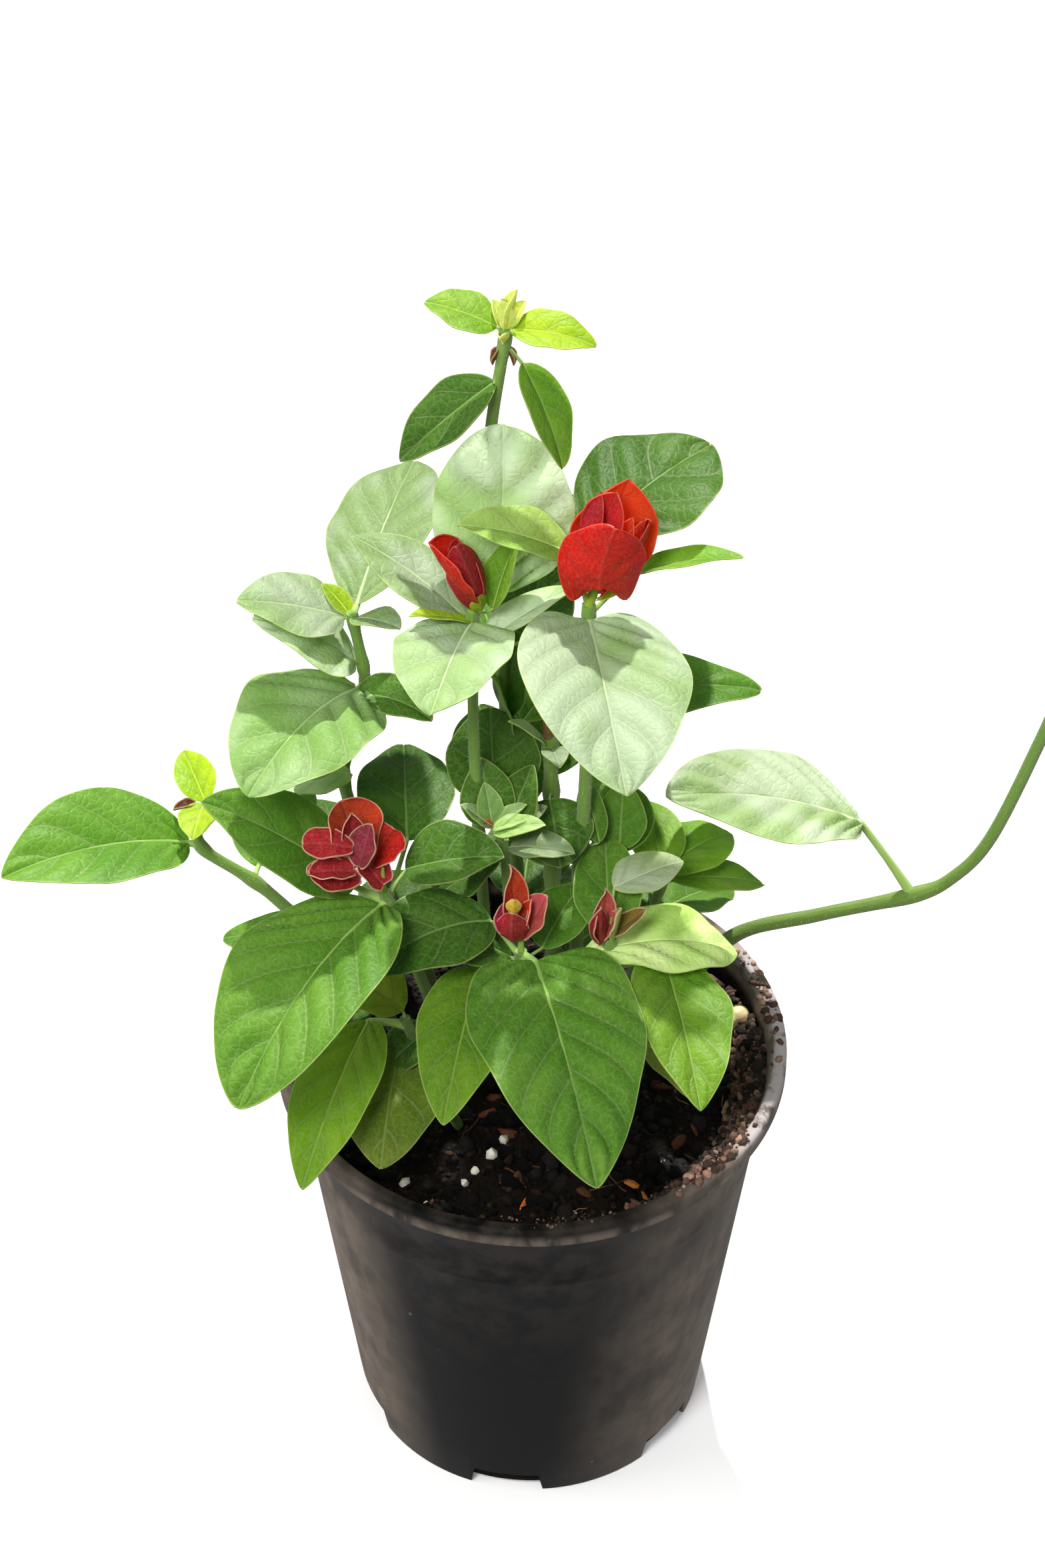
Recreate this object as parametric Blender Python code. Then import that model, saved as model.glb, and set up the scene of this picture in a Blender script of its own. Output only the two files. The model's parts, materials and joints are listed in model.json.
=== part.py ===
"""A shrimp plant, Justicia brandegeeana, in the black nursery pot that it grows in.

Everything below is in millimetres and degrees until a mesh is made, which is in metres.
The origin is the middle of the pot's flat underside, +Z is up and -Y is the front.
A heading is an angle seen from above: 0 is +X, 90 is the back, 180 is the left, -90 the front.

The plant is a clump of leafy stems that stand in plain holes in the soil. Each stem is one
solid: a tube with its leaves and their stalks fused to it. A head of red bracts sits on top
of some of them and is a solid of its own.
"""
from collections import namedtuple

import bpy
import numpy as np

MM = 0.001                  # one millimetre in Blender's metres
CLEARANCE = 0.3             # air between two solids that touch on the real plant

# Pot: a round pot of thin black plastic, a common size with a rim 150 mm across.
POT_HEIGHT = 145.0
RIM_RADIUS = 75.0
RIM_BAND_HEIGHT = 6.5       # the band that stands out round the top
RIM_TOP_WIDTH = 4.0
WALL_TOP_RADIUS = 70.0      # outside of the wall, just under the band
BASE_RADIUS = 53.5
WALL_THICKNESS = 1.6
FLOOR_THICKNESS = 2.4
POT_SIDES = 48

# Drain notches, cut through the corner of the wall and the floor.
NOTCH_COUNT = 6
NOTCH_WIDTH = 23.0
NOTCH_HEIGHT = 8.5
NOTCH_DEPTH = 9.0           # how far a notch reaches inwards from the wall
NOTCH_TOP_SHARE = 0.86      # its top's width over its foot's
NOTCH_OVERRUN = 6.0         # how far its cutter stands out of the wall
FIRST_NOTCH_HEADING = -98.0

# Soil: fills the pot to a little under the rim, a bit higher in the middle.
SOIL_EDGE_HEIGHT = 126.0
SOIL_MIDDLE_HEIGHT = 131.0
SOIL_LUMP = 1.6             # height of the lumps
SOIL_RINGS = 8
SOIL_SIDES = 36
HOLE_SIDES = 8

STEM_SIDES = 6
STALK_SIDES = 4
CORE_SIDES = 6
BLADE_THICKNESS = 0.8
STALK_RADIUS = 1.0
SMALL_STALK_RADIUS = 0.7    # of a leaf shorter than SHORT_LEAF
SHORT_LEAF = 26.0
LONG_LEAF = 50.0            # a longer blade than this has the most rows of faces
STALK_INSIDE = 0.12         # how far the stalk runs on into the blade, as a share of its length

Leaf = namedtuple(
    "Leaf",
    "height heading rise droop length width roll fold lobe stalk widest taper",
    defaults=(0, 12, 0, (2, 0, 20), 0.42, 0.72),
)
Leaf.__doc__ = """One leaf of a stem.

height: where its stalk leaves the stem, as a height over the floor.
heading, rise: the way the blade starts out, and its angle over the horizontal.
droop: how far the blade bends down from its base to its tip.
length, width: of the blade, along its midrib and across its widest place.
roll: how far the left half is lifted, turning the blade about its midrib.
fold: how far each half is raised to a V.
lobe: how far the base's corners reach back past the stalk.
stalk: its length, heading and rise.
widest: where along the midrib it is widest.
taper: 1 for a blade with pointed ends, 0.5 for one with round ends.
"""

Head = namedtuple("Head", "name stem lean_heading lean length width rows first_heading")
Head.__doc__ = """One head of bracts, seated on the tip of a stem.

lean_heading, lean: the way it leans, and how far from upright.
rows: how many crosswise pairs of bracts it has, one above the other.
first_heading: the way the lowest bract faces.
"""
Stem = namedtuple("Stem", "name path foot_radius tip_radius leaves")

STEMS = [
    Stem("tall_tip_stem", [(-2, 22, 112), (-4, 25, 180), (-8, 30, 260), (-12, 34, 326), (-7, 34, 374)],
         2.2, 1.5, [
        Leaf(373, 20, 72, -10, 12, 8, 0, 40, stalk=(1, 30, 80)),
        Leaf(373, 200, 76, -20, 10, 8, 0, 40, stalk=(1, 200, 80)),
        Leaf(371, 170, 27, 22, 20, 16, -6, 14, stalk=(4, 160, 55)),
        Leaf(371, -8, 10, 34, 23, 14, 12, 18, stalk=(3, 10, 60)),
        Leaf(362, 192, -34, 12, 34, 14, 10, 20, stalk=(5, 196, -60)),
        Leaf(364, -56, -32, 36, 30, 15, -14, 22, stalk=(5, -12, 0)),
        Leaf(292, 90, 84, 18, 49, 38, 0, 6, stalk=(15, -80, 25), widest=0.5, taper=0.52),
        Leaf(292, 65, 12, 35, 42, 28, 0, 14, stalk=(6, 65, 20)),
        Leaf(262, 104, 10, 40, 46, 30, 10, 12, stalk=(8, 104, 10)),
        Leaf(236, 60, 10, 35, 48, 32, -10, 12, stalk=(8, 60, 10)),
        Leaf(206, 106, 36, 30, 38, 30, 0, 12, stalk=(3, 106, 10)),
        Leaf(170, 84, 14, 34, 44, 27, 0, 12, stalk=(6, 84, 20)),
    ]),
    Stem("big_bloom_stem", [(12, 8, 112), (13, 8, 180), (15, 7, 250), (15, 6, 305)], 2.2, 1.6, [
        Leaf(300, -83, 10, 34, 63, 46, -8, 14, lobe=6, stalk=(2, -83, 20), widest=0.42),
        Leaf(266, 10, 24, 48, 46, 22, 6, 14, stalk=(4, 14, 10)),
        Leaf(302, 42, 24, 26, 48, 41, 0, 10, stalk=(19, 96, 42), widest=0.52, taper=0.6),
        Leaf(303, 182, 50, 28, 33, 17, -10, 14, stalk=(16, 165, 35)),
        Leaf(301, -4, 26, 24, 30, 12, -10, 20, stalk=(17, 36, 26)),
        Leaf(252, 66, 5, 35, 46, 30, 0, 12, stalk=(6, 66, 10)),
        Leaf(205, 106, 34, 20, 25, 14, 0, 16, stalk=(11, 38, 12)),
        Leaf(206, 84, 30, 26, 22, 15, 0, 14, stalk=(14, 12, 20)),
        Leaf(208, 177, 30, 24, 23, 12, 0, 12, stalk=(3, 177, 20)),
    ]),
    Stem("small_bloom_stem", [(-8, 2, 112), (-13, 5, 180), (-16, 7, 250), (-16, 8, 301)], 1.8, 1.4, [
        Leaf(297, 150, 34, 26, 39, 21, 0, 14, stalk=(2, 150, 20)),
        Leaf(298, 50, 70, 20, 22, 12, -10, 30, stalk=(6, 20, 20)),
        Leaf(297, -105, 18, 36, 39, 33, 6, 14, stalk=(2, -105, 30), taper=0.62),
        Leaf(290, 30, 30, 28, 30, 13, -10, 22, stalk=(3, -30, 10)),
        Leaf(297, -157, 34, 20, 19, 9, 10, 20, stalk=(1, -157, 30)),
    ]),
    Stem("back_left_stem", [(-16, 12, 112), (-38, 15, 180), (-53, 18, 230), (-46, 17, 262), (-49, 18, 292)],
         2.0, 1.4, [
        Leaf(290, 74, 26, 30, 55, 31, -10, 12, stalk=(4, 74, 30), widest=0.5, taper=0.62),
        Leaf(289, -168, 30, 20, 31, 25, -6, 10, stalk=(3, -170, 40)),
        Leaf(274, -162, 56, 34, 36, 30, -10, 12, stalk=(3, -162, 40), widest=0.45),
        Leaf(290, -40, 30, 26, 17, 13, -8, 14, stalk=(2, -50, 40)),
        Leaf(290, 140, 40, 20, 12, 7, 0, 20, stalk=(1, 140, 40)),
        Leaf(267, -124, 26, 58, 52, 40, -4, 10, stalk=(4, -124, 20), taper=0.62),
        Leaf(264, -48, 26, 62, 20, 12, 20, 26, stalk=(4, -100, 50)),
        Leaf(262, -130, 10, 34, 34, 18, 26, 30, stalk=(4, -110, 30)),
        Leaf(240, 120, 6, 40, 46, 30, 0, 12, stalk=(6, 120, 10)),
        Leaf(196, 136, 10, 40, 44, 26, 0, 12, stalk=(5, 136, 10)),
        Leaf(160, 108, 12, 34, 42, 26, 0, 12, stalk=(5, 108, 20)),
    ]),
    Stem("low_left_stem", [(-26, 2, 112), (-48, -2, 168), (-74, -5, 209), (-92, -7, 229), (-89, -6, 243)],
         2.2, 1.4, [
        Leaf(228, -152, 31, 40, 57, 34, -13, 24, stalk=(5, -160, 40), widest=0.44),
        Leaf(242, 114, 28, 25, 18, 12, -10, 24, stalk=(2, 120, 40)),
        Leaf(242, -98, 10, 20, 15, 12, 10, 16, stalk=(2, 160, 60)),
        Leaf(243, 186, -4, 10, 7, 5, 0, 30, stalk=(3, 186, 10)),
        Leaf(214, 78, 16, 30, 42, 24, 0, 12, stalk=(5, 78, 10)),
        Leaf(184, 168, 4, 34, 40, 24, 0, 12, stalk=(4, 168, 10)),
        Leaf(156, -178, 10, 34, 40, 24, 0, 12, stalk=(4, -178, 20)),
    ]),
    Stem("left_bloom_stem", [(-16, -8, 112), (-28, -13, 170), (-41, -18, 222)], 1.9, 1.5, [
        Leaf(218, -123, 14, 62, 75, 47, 8, 19, stalk=(3, -125, 10), widest=0.46, taper=0.66),
        Leaf(219, -6, 28, 24, 29, 23, 13, 27, stalk=(10, 58, 20)),
        Leaf(216, -174, 54, 26, 54, 28, -20, 12, stalk=(12, 150, 10)),
        Leaf(217, 93, 15, 26, 39, 28, 0, 10, stalk=(20, 75, 22), taper=0.62),
    ]),
    Stem("front_bloom_stem", [(-3, -12, 112), (-4, -19, 165), (-3, -25, 206)], 1.8, 1.4, [
        Leaf(204, -76, 4, 40, 73, 48, 0, 10, lobe=4, stalk=(6, -45, 15), widest=0.32),
        Leaf(201, 178, 36, 30, 34, 19, -7, 13, stalk=(3, 165, 20)),
        Leaf(203, -152, 28, 64, 40, 28, -8, 12, stalk=(13, 140, 34)),
        Leaf(188, -101, 10, 40, 54, 26, 0, 14, stalk=(15, -170, 45)),
        Leaf(200, 62, 24, 26, 25, 18, 0, 14, stalk=(8, 40, 10)),
    ]),
    Stem("right_bloom_stem", [(12, -10, 112), (19, -17, 165), (22, -22, 208)], 1.8, 1.4, [
        Leaf(201, 13, 18, 56, 49, 28, 0, 10, stalk=(9, 196, 8), widest=0.55),
        Leaf(204, 92, 24, 24, 34, 15, 0, 16, stalk=(3, 92, 30)),
        Leaf(195, -80, 12, 40, 54, 29, -14, 18, stalk=(16, 5, 10)),
        Leaf(160, -62, 16, 30, 30, 15, -14, 18, stalk=(14, 5, 10)),
        Leaf(202, 26, 14, 20, 22, 16, 0, 10, stalk=(18, 84, 46)),
    ]),
    Stem("cut_stem", [(6, 14, 112), (6, 17, 180), (5, 20, 252)], 2.2, 2.0, [
        Leaf(242, -162, 58, 20, 16, 7, 0, 20, stalk=(2, -162, 40)),
        Leaf(242, -80, 30, 20, 14, 8, 0, 20, stalk=(2, -80, 30)),
        Leaf(226, 88, 10, 30, 42, 26, 0, 12, stalk=(5, 88, 20)),
        Leaf(196, 76, 0, 24, 26, 16, 0, 12, stalk=(5, 76, 20)),
        Leaf(158, 44, 16, 34, 42, 25, 0, 12, stalk=(6, 44, 20)),
    ]),
    Stem("centre_short_shoot", [(0, 4, 112), (-5, 2, 170), (-8, -1, 226)], 1.7, 1.2, [
        Leaf(224, 56, 60, 16, 22, 14, 0, 16, stalk=(2, 56, 60)),
        Leaf(225, 30, 36, 24, 14, 8, 0, 24, stalk=(2, 30, 50)),
        Leaf(222, -20, 24, 26, 20, 12, 0, 18, stalk=(2, -20, 40)),
        Leaf(222, 206, 40, 20, 13, 9, 0, 18, stalk=(2, 206, 40)),
    ]),
    Stem("back_right_stem", [(22, 14, 112), (30, 14, 160), (38, 12, 200)], 1.9, 1.3, [
        Leaf(198, 42, 16, 40, 28, 22, 0, 12, stalk=(3, 92, 20)),
        Leaf(196, 20, -6, 30, 32, 16, 0, 14, stalk=(3, 20, 20)),
        Leaf(199, 100, 26, 30, 26, 17, 0, 14, stalk=(2, 100, 20)),
        Leaf(180, 50, -8, 30, 38, 22, 0, 14, stalk=(4, 50, 10)),
        Leaf(176, 120, 0, 30, 42, 26, 0, 14, stalk=(4, 120, 10)),
    ]),
    Stem("front_low_stem", [(-16, -18, 112), (-28, -22, 150), (-36, -24, 178)], 1.7, 1.3, [
        Leaf(175, -109, 6, 44, 57, 25, 8, 14, stalk=(11, 172, 2)),
        Leaf(166, -98, 0, 44, 39, 30, 0, 10, stalk=(5, -175, 15)),
        Leaf(177, 150, 28, 24, 23, 19, 0, 12, stalk=(3, 110, 50)),
    ]),
    Stem("runner_stem", [(30, 4, 112), (44, 20, 142), (60, 32, 156), (85, 31, 166), (112, 30, 175),
                         (123, 30, 182), (133, 30, 198), (144, 30, 236), (150, 30, 262)], 2.4, 1.7, [
        Leaf(175, -168, 38, 36, 64, 41, 0, 10, stalk=(29, 160, 54), widest=0.48, taper=0.62),
        Leaf(261, 20, 60, 30, 22, 11, 0, 18, stalk=(1, 20, 60)),
        Leaf(261, 100, 60, 30, 22, 11, 0, 18, stalk=(1, 100, 60)),
    ]),
]

HEADS = [
    Head("big_bloom", "big_bloom_stem", 0, 18, 30, 24, 4, -80),
    Head("small_bloom", "small_bloom_stem", 165, 18, 22, 12, 3, -60),
    Head("left_bloom", "left_bloom_stem", 120, 15, 24, 23, 4, -100),
    Head("front_bloom", "front_bloom_stem", 80, 10, 20, 14, 3, -60),
    Head("right_bloom", "right_bloom_stem", 100, 10, 17, 11, 3, -30),
]

# A pale two-lobed pebble lies half sunk in the soil at the right: each lobe's place and size.
PEBBLE_LOBES = [((54.0, 19.0, 129.4), (3.8, 3.6, 3.4)), ((58.3, 21.2, 129.8), (4.0, 4.2, 3.6))]


def clear_scene():
    """Remove whatever the open file holds."""
    for thing in list(bpy.data.objects):
        bpy.data.objects.remove(thing, do_unlink=True)


def plain_material(name, colour, roughness):
    """A plain Principled material."""
    material = bpy.data.materials.new(name)
    material.use_nodes = True
    shader = material.node_tree.nodes["Principled BSDF"]
    shader.inputs["Base Color"].default_value = (*colour, 1.0)
    shader.inputs["Roughness"].default_value = roughness
    return material


def make_object(name, points, faces, material):
    """Turn points in millimetres and faces into an object."""
    mesh = bpy.data.meshes.new(name)
    mesh.from_pydata((np.asarray(points) * MM).tolist(), [], faces)
    mesh.materials.append(material)
    thing = bpy.data.objects.new(name, mesh)
    bpy.context.scene.collection.objects.link(thing)
    return thing


def direction(heading, rise):
    """Unit vector along a heading and up by a rise, or one row for each of several rises."""
    heading = np.radians(heading)
    rise = np.radians(rise)
    level = np.cos(rise)
    return np.stack([level * np.cos(heading), level * np.sin(heading), np.sin(rise)], -1)


def smooth_path(points, steps):
    """Catmull-Rom curve through the points, with the given steps between each two."""
    points = np.array(points, float)
    ends = np.vstack([2 * points[0] - points[1], points, 2 * points[-1] - points[-2]])
    t = np.linspace(0, 1, steps, endpoint=False)[:, None]
    pieces = []
    for a, b, c, d in zip(ends[:-3], ends[1:-2], ends[2:-1], ends[3:]):
        curve = 2 * b + (c - a) * t
        curve = curve + (2 * a - 5 * b + 4 * c - d) * t ** 2
        curve = curve + (3 * b - a - 3 * c + d) * t ** 3
        pieces.append(curve / 2)
    return np.vstack(pieces + [points[-1:]])


def tube(path, radii, sides):
    """Closed tube along a path: points and faces. Its ends are flat."""
    path = np.asarray(path, float)
    radii = np.broadcast_to(radii, len(path))
    along = np.gradient(path, axis=0)
    along /= np.linalg.norm(along, axis=1, keepdims=True)
    level = np.array([0.0, 0.0, 1.0]) if abs(along[0][2]) < 0.8 else np.array([1.0, 0.0, 0.0])
    first = np.cross(along, level)
    first /= np.linalg.norm(first, axis=1, keepdims=True)
    second = np.cross(along, first)
    turn = np.linspace(0, 2 * np.pi, sides, endpoint=False)[None, :, None]
    circles = np.cos(turn) * first[:, None] + np.sin(turn) * second[:, None]
    rings = path[:, None] + radii[:, None, None] * circles
    faces = []
    for i in range(len(path) - 1):
        for j in range(sides):
            k = (j + 1) % sides
            faces.append((i * sides + j, i * sides + k, (i + 1) * sides + k, (i + 1) * sides + j))
    faces.append(tuple(range(sides))[::-1])
    last = (len(path) - 1) * sides
    faces.append(tuple(range(last, last + sides)))
    return rings.reshape(-1, 3), faces


def outline(s, widest, taper):
    """Half-width of a leaf along its midrib, as a share of its widest.

    It is an arch of a sine, moved to where the leaf is widest. The taper is a power.
    """
    return np.sin(np.pi * s ** (np.log(0.5) / np.log(widest))) ** taper


def blade_steps(length):
    """A long blade gets more rows of faces than a short one."""
    return 4 if length < SHORT_LEAF else 5 if length < LONG_LEAF else 6


def blade(leaf, base):
    """Closed thin blade of a leaf from its base point: points and triangles.

    The midrib is an arc that starts along heading and rise and bends down by droop. Each half
    is raised by fold, and the whole is turned about the midrib by roll. Both faces are split
    into the same triangles, half a thickness to each side of the middle surface.
    """
    steps = blade_steps(leaf.length)
    columns = 3
    s = (1 - np.cos(np.linspace(0, np.pi, steps + 1))) / 2
    along = direction(leaf.heading, leaf.rise - leaf.droop * s)
    middles = (along[1:] + along[:-1]) / 2 * leaf.length * np.diff(s)[:, None]
    midrib = np.array(base, float) + np.vstack([np.zeros(3), np.cumsum(middles, axis=0)])
    left = direction(leaf.heading + 90, 0)
    up = np.cross(along, left)
    roll = np.radians(leaf.roll)
    across = left * np.cos(roll) + up * np.sin(roll)
    normal = up * np.cos(roll) - left * np.sin(roll)

    c = np.linspace(-1, 1, columns)
    half = leaf.width / 2 * outline(s, leaf.widest, leaf.taper)
    fold = np.radians(leaf.fold)
    reach = half[:, None] * c * np.cos(fold)
    lift = half[:, None] * np.abs(c) * np.sin(fold)
    back = leaf.lobe * c ** 2 * np.exp(-(s[:, None] / 0.25) ** 2)
    middle = (midrib[:, None] + reach[..., None] * across[:, None] + lift[..., None] * normal[:, None]
              - back[..., None] * along[:, None])
    offset = normal[:, None] * BLADE_THICKNESS / 2 / np.cos(fold)
    points = []
    for face in (middle + offset, middle - offset):
        points += [face[0, columns // 2], *face[1:-1].reshape(-1, 3), face[-1, columns // 2]]
    return np.array(points), blade_faces(steps, columns)


def blade_faces(steps, columns):
    """Triangles of a blade whose two faces each have one base point, rows, and one tip point."""
    count = 2 + (steps - 1) * columns
    tip = count - 1

    def at(row, column):
        return 1 + (row - 1) * columns + column

    upper = []
    for j in range(columns - 1):
        upper.append((0, at(1, j), at(1, j + 1)))
        upper.append((tip, at(steps - 1, j + 1), at(steps - 1, j)))
        for i in range(1, steps - 1):
            a, b, c, d = at(i, j), at(i, j + 1), at(i + 1, j + 1), at(i + 1, j)
            if j < columns // 2:
                upper += [(a, c, b), (a, d, c)]
            else:
                upper += [(a, d, b), (b, d, c)]
    lower = [tuple(k + count for k in reversed(face)) for face in upper]
    faces = upper + lower
    right = [0] + [at(i, 0) for i in range(1, steps)] + [tip]
    left = [0] + [at(i, columns - 1) for i in range(1, steps)] + [tip]
    for a, b in zip(right[:-1], right[1:]):
        faces += [(b, a, a + count), (b, a + count, b + count)]
    for a, b in zip(left[:-1], left[1:]):
        faces += [(a, b, b + count), (a, b + count, a + count)]
    return faces


def leaf_base(leaf, node):
    """Where the blade starts: at the end of its stalk."""
    length, heading, rise = leaf.stalk
    return node + length * direction(heading, rise)


def node_point(path, height):
    """Point of a rising path at a height."""
    return np.array([np.interp(height, path[:, 2], path[:, k]) for k in range(3)])


def fuse(name, shapes, material):
    """One Boolean union of closed shapes, each given as points and faces."""
    parts = [make_object(f"{name}_{i}", *shape, material) for i, shape in enumerate(shapes)]
    whole = parts.pop(0)
    whole.name = name
    group = bpy.data.collections.new(name + "_parts")
    for part in parts:
        group.objects.link(part)
    union = whole.modifiers.new("union", "BOOLEAN")
    union.operation = "UNION"
    union.operand_type = "COLLECTION"
    union.collection = group
    union.solver = "MANIFOLD"
    apply_modifiers(whole)
    for part in parts:
        bpy.data.objects.remove(part, do_unlink=True)
    bpy.data.collections.remove(group)
    return whole


def apply_modifiers(thing):
    """Keep the evaluated mesh and drop the modifiers."""
    bpy.context.view_layer.update()
    evaluated = thing.evaluated_get(bpy.context.evaluated_depsgraph_get())
    mesh = bpy.data.meshes.new_from_object(evaluated)
    thing.modifiers.clear()
    thing.data = mesh


def lathe(profile, sides):
    """Closed solid turned about Z from a profile of (radius, height) that starts and ends on the axis."""
    profile = np.array(profile, float)
    turn = np.linspace(0, 2 * np.pi, sides, endpoint=False)
    inner = profile[1:-1]
    rings = np.stack([inner[:, :1] * np.cos(turn), inner[:, :1] * np.sin(turn),
                      np.repeat(inner[:, 1:], sides, axis=1)], -1)
    points = np.vstack([rings.reshape(-1, 3), [[0, 0, profile[0, 1]], [0, 0, profile[-1, 1]]]])
    start = len(inner) * sides
    faces = []
    for j in range(sides):
        k = (j + 1) % sides
        faces.append((start, k, j))
        for i in range(len(inner) - 1):
            faces.append((i * sides + j, i * sides + k, (i + 1) * sides + k, (i + 1) * sides + j))
        last = (len(inner) - 1) * sides
        faces.append((start + 1, last + j, last + k))
    return points, faces


def cut(thing, name, shape, material):
    """Take one closed shape away from an object."""
    cutter = make_object(name, *shape, material)
    cutter.hide_render = True
    cutter.display_type = "WIRE"
    difference = thing.modifiers.new(name, "BOOLEAN")
    difference.operation = "DIFFERENCE"
    difference.object = cutter
    difference.solver = "MANIFOLD"
    apply_modifiers(thing)
    bpy.data.objects.remove(cutter, do_unlink=True)


def ellipsoid(place, size, sides=10, rings=6):
    """Closed ellipsoid round a place, from its three half-sizes."""
    turn = np.linspace(-np.pi / 2, np.pi / 2, rings + 1)
    profile = np.stack([np.cos(turn), np.sin(turn)], -1)
    profile[[0, -1], 0] = 0
    points, faces = lathe(profile, sides)
    return points * np.array(size) + np.array(place), faces


def wall_radius(height):
    """Outside radius of the tapered wall at a height."""
    return np.interp(height, [0, POT_HEIGHT - RIM_BAND_HEIGHT], [BASE_RADIUS, WALL_TOP_RADIUS])


def make_pot(material):
    """The pot: a turned shell with a band round its rim and notches round its foot."""
    band = POT_HEIGHT - RIM_BAND_HEIGHT
    inside_top = wall_radius(band) - WALL_THICKNESS
    inside_floor = wall_radius(FLOOR_THICKNESS) - WALL_THICKNESS
    profile = [
        (0, 0),
        (BASE_RADIUS, 0),
        (WALL_TOP_RADIUS, band),
        (RIM_RADIUS, band),
        (RIM_RADIUS, POT_HEIGHT - 1.2),
        (RIM_RADIUS - 1.2, POT_HEIGHT),
        (RIM_RADIUS - RIM_TOP_WIDTH + 0.8, POT_HEIGHT),
        (RIM_RADIUS - RIM_TOP_WIDTH, POT_HEIGHT - 0.8),
        (inside_top, band - 2),
        (inside_floor, FLOOR_THICKNESS),
        (0, FLOOR_THICKNESS),
    ]
    pot = make_object("pot", *lathe(profile, POT_SIDES), material)
    for k in range(NOTCH_COUNT):
        cut(pot, f"notch_{k}", notch_shape(FIRST_NOTCH_HEADING + k * 360 / NOTCH_COUNT), material)
    return pot


def notch_shape(heading):
    """A block with two sloping ends that stands across the foot of the wall."""
    outward = direction(heading, 0)
    sideways = direction(heading + 90, 0)
    half = NOTCH_WIDTH / 2
    top = half * NOTCH_TOP_SHARE
    profile = [(-half, -2), (half, -2), (top, NOTCH_HEIGHT), (-top, NOTCH_HEIGHT)]
    points = []
    for reach in (BASE_RADIUS - NOTCH_DEPTH, BASE_RADIUS + NOTCH_OVERRUN):
        for across, height in profile:
            points.append(outward * reach + sideways * across + np.array([0, 0, height]))
    faces = [(3, 2, 1, 0), (4, 5, 6, 7), (0, 1, 5, 4), (1, 2, 6, 5), (2, 3, 7, 6), (3, 0, 4, 7)]
    return np.array(points), faces


def soil_height(x, y):
    """Height of the soil: a low mound with two trains of waves for its lumps."""
    from_middle = np.hypot(x, y) / WALL_TOP_RADIUS
    mound = SOIL_MIDDLE_HEIGHT + (SOIL_EDGE_HEIGHT - SOIL_MIDDLE_HEIGHT) * from_middle ** 2
    lumps = np.sin(0.21 * x + 1.3) * np.cos(0.24 * y + 0.4) + 0.6 * np.sin(0.43 * x - 0.37 * y)
    return mound + SOIL_LUMP * lumps


def make_soil(material, holes):
    """The soil: a plug that fills the pot, with a lumpy top and a plain hole for each stem."""
    bottom = FLOOR_THICKNESS + CLEARANCE
    inset = WALL_THICKNESS + CLEARANCE + 0.2
    top_radius = wall_radius(SOIL_EDGE_HEIGHT - 4) - inset
    turn = np.linspace(0, 2 * np.pi, SOIL_SIDES, endpoint=False)
    radii = np.linspace(0, 1, SOIL_RINGS + 1)[1:] * top_radius
    x = radii[:, None] * np.cos(turn)
    y = radii[:, None] * np.sin(turn)
    top = np.stack([x, y, soil_height(x, y)], -1)
    foot_radius = wall_radius(bottom) - inset
    foot = np.stack([foot_radius * np.cos(turn), foot_radius * np.sin(turn), 0 * turn + bottom], -1)
    points = np.vstack([top.reshape(-1, 3), foot, [[0, 0, soil_height(0, 0)], [0, 0, bottom]]])
    centre = len(points) - 2
    faces = []
    for j in range(SOIL_SIDES):
        k = (j + 1) % SOIL_SIDES
        faces.append((centre, j, k))
        for i in range(SOIL_RINGS):
            a, b = i * SOIL_SIDES + j, i * SOIL_SIDES + k
            faces += [(a, a + SOIL_SIDES, b + SOIL_SIDES), (a, b + SOIL_SIDES, b)]
        last = SOIL_RINGS * SOIL_SIDES
        faces.append((centre + 1, last + k, last + j))
    soil = make_object("potting_soil", points, faces, material)
    for k, (foot_path, radius) in enumerate(holes):
        cut(soil, f"hole_{k}", tube(foot_path, radius, HOLE_SIDES), material)
    for k, (place, size) in enumerate(PEBBLE_LOBES):
        cut(soil, f"dent_{k}", ellipsoid(place, np.array(size) + CLEARANCE), material)
    return soil


def make_pebble(material):
    """The pale pebble that lies in the soil."""
    return fuse("cream_pebble", [ellipsoid(*lobe) for lobe in PEBBLE_LOBES], material)


def make_stem(stem, material):
    """One leafy stem: its tube, its leaves' stalks and their blades, fused."""
    path = smooth_path(stem.path, 2)
    radii = np.linspace(stem.foot_radius, stem.tip_radius, len(path))
    shapes = [tube(path, radii, STEM_SIDES)]
    fine = smooth_path(stem.path, 12)
    for leaf in stem.leaves:
        node = node_point(fine, leaf.height)
        base = leaf_base(leaf, node)
        inside = base + direction(leaf.heading, leaf.rise) * leaf.length * STALK_INSIDE
        radius = SMALL_STALK_RADIUS if leaf.length < SHORT_LEAF else STALK_RADIUS
        shapes.append(tube([node, base, inside], radius, STALK_SIDES))
        shapes.append(blade(leaf, base))
    return fuse(stem.name, shapes, material)


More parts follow.
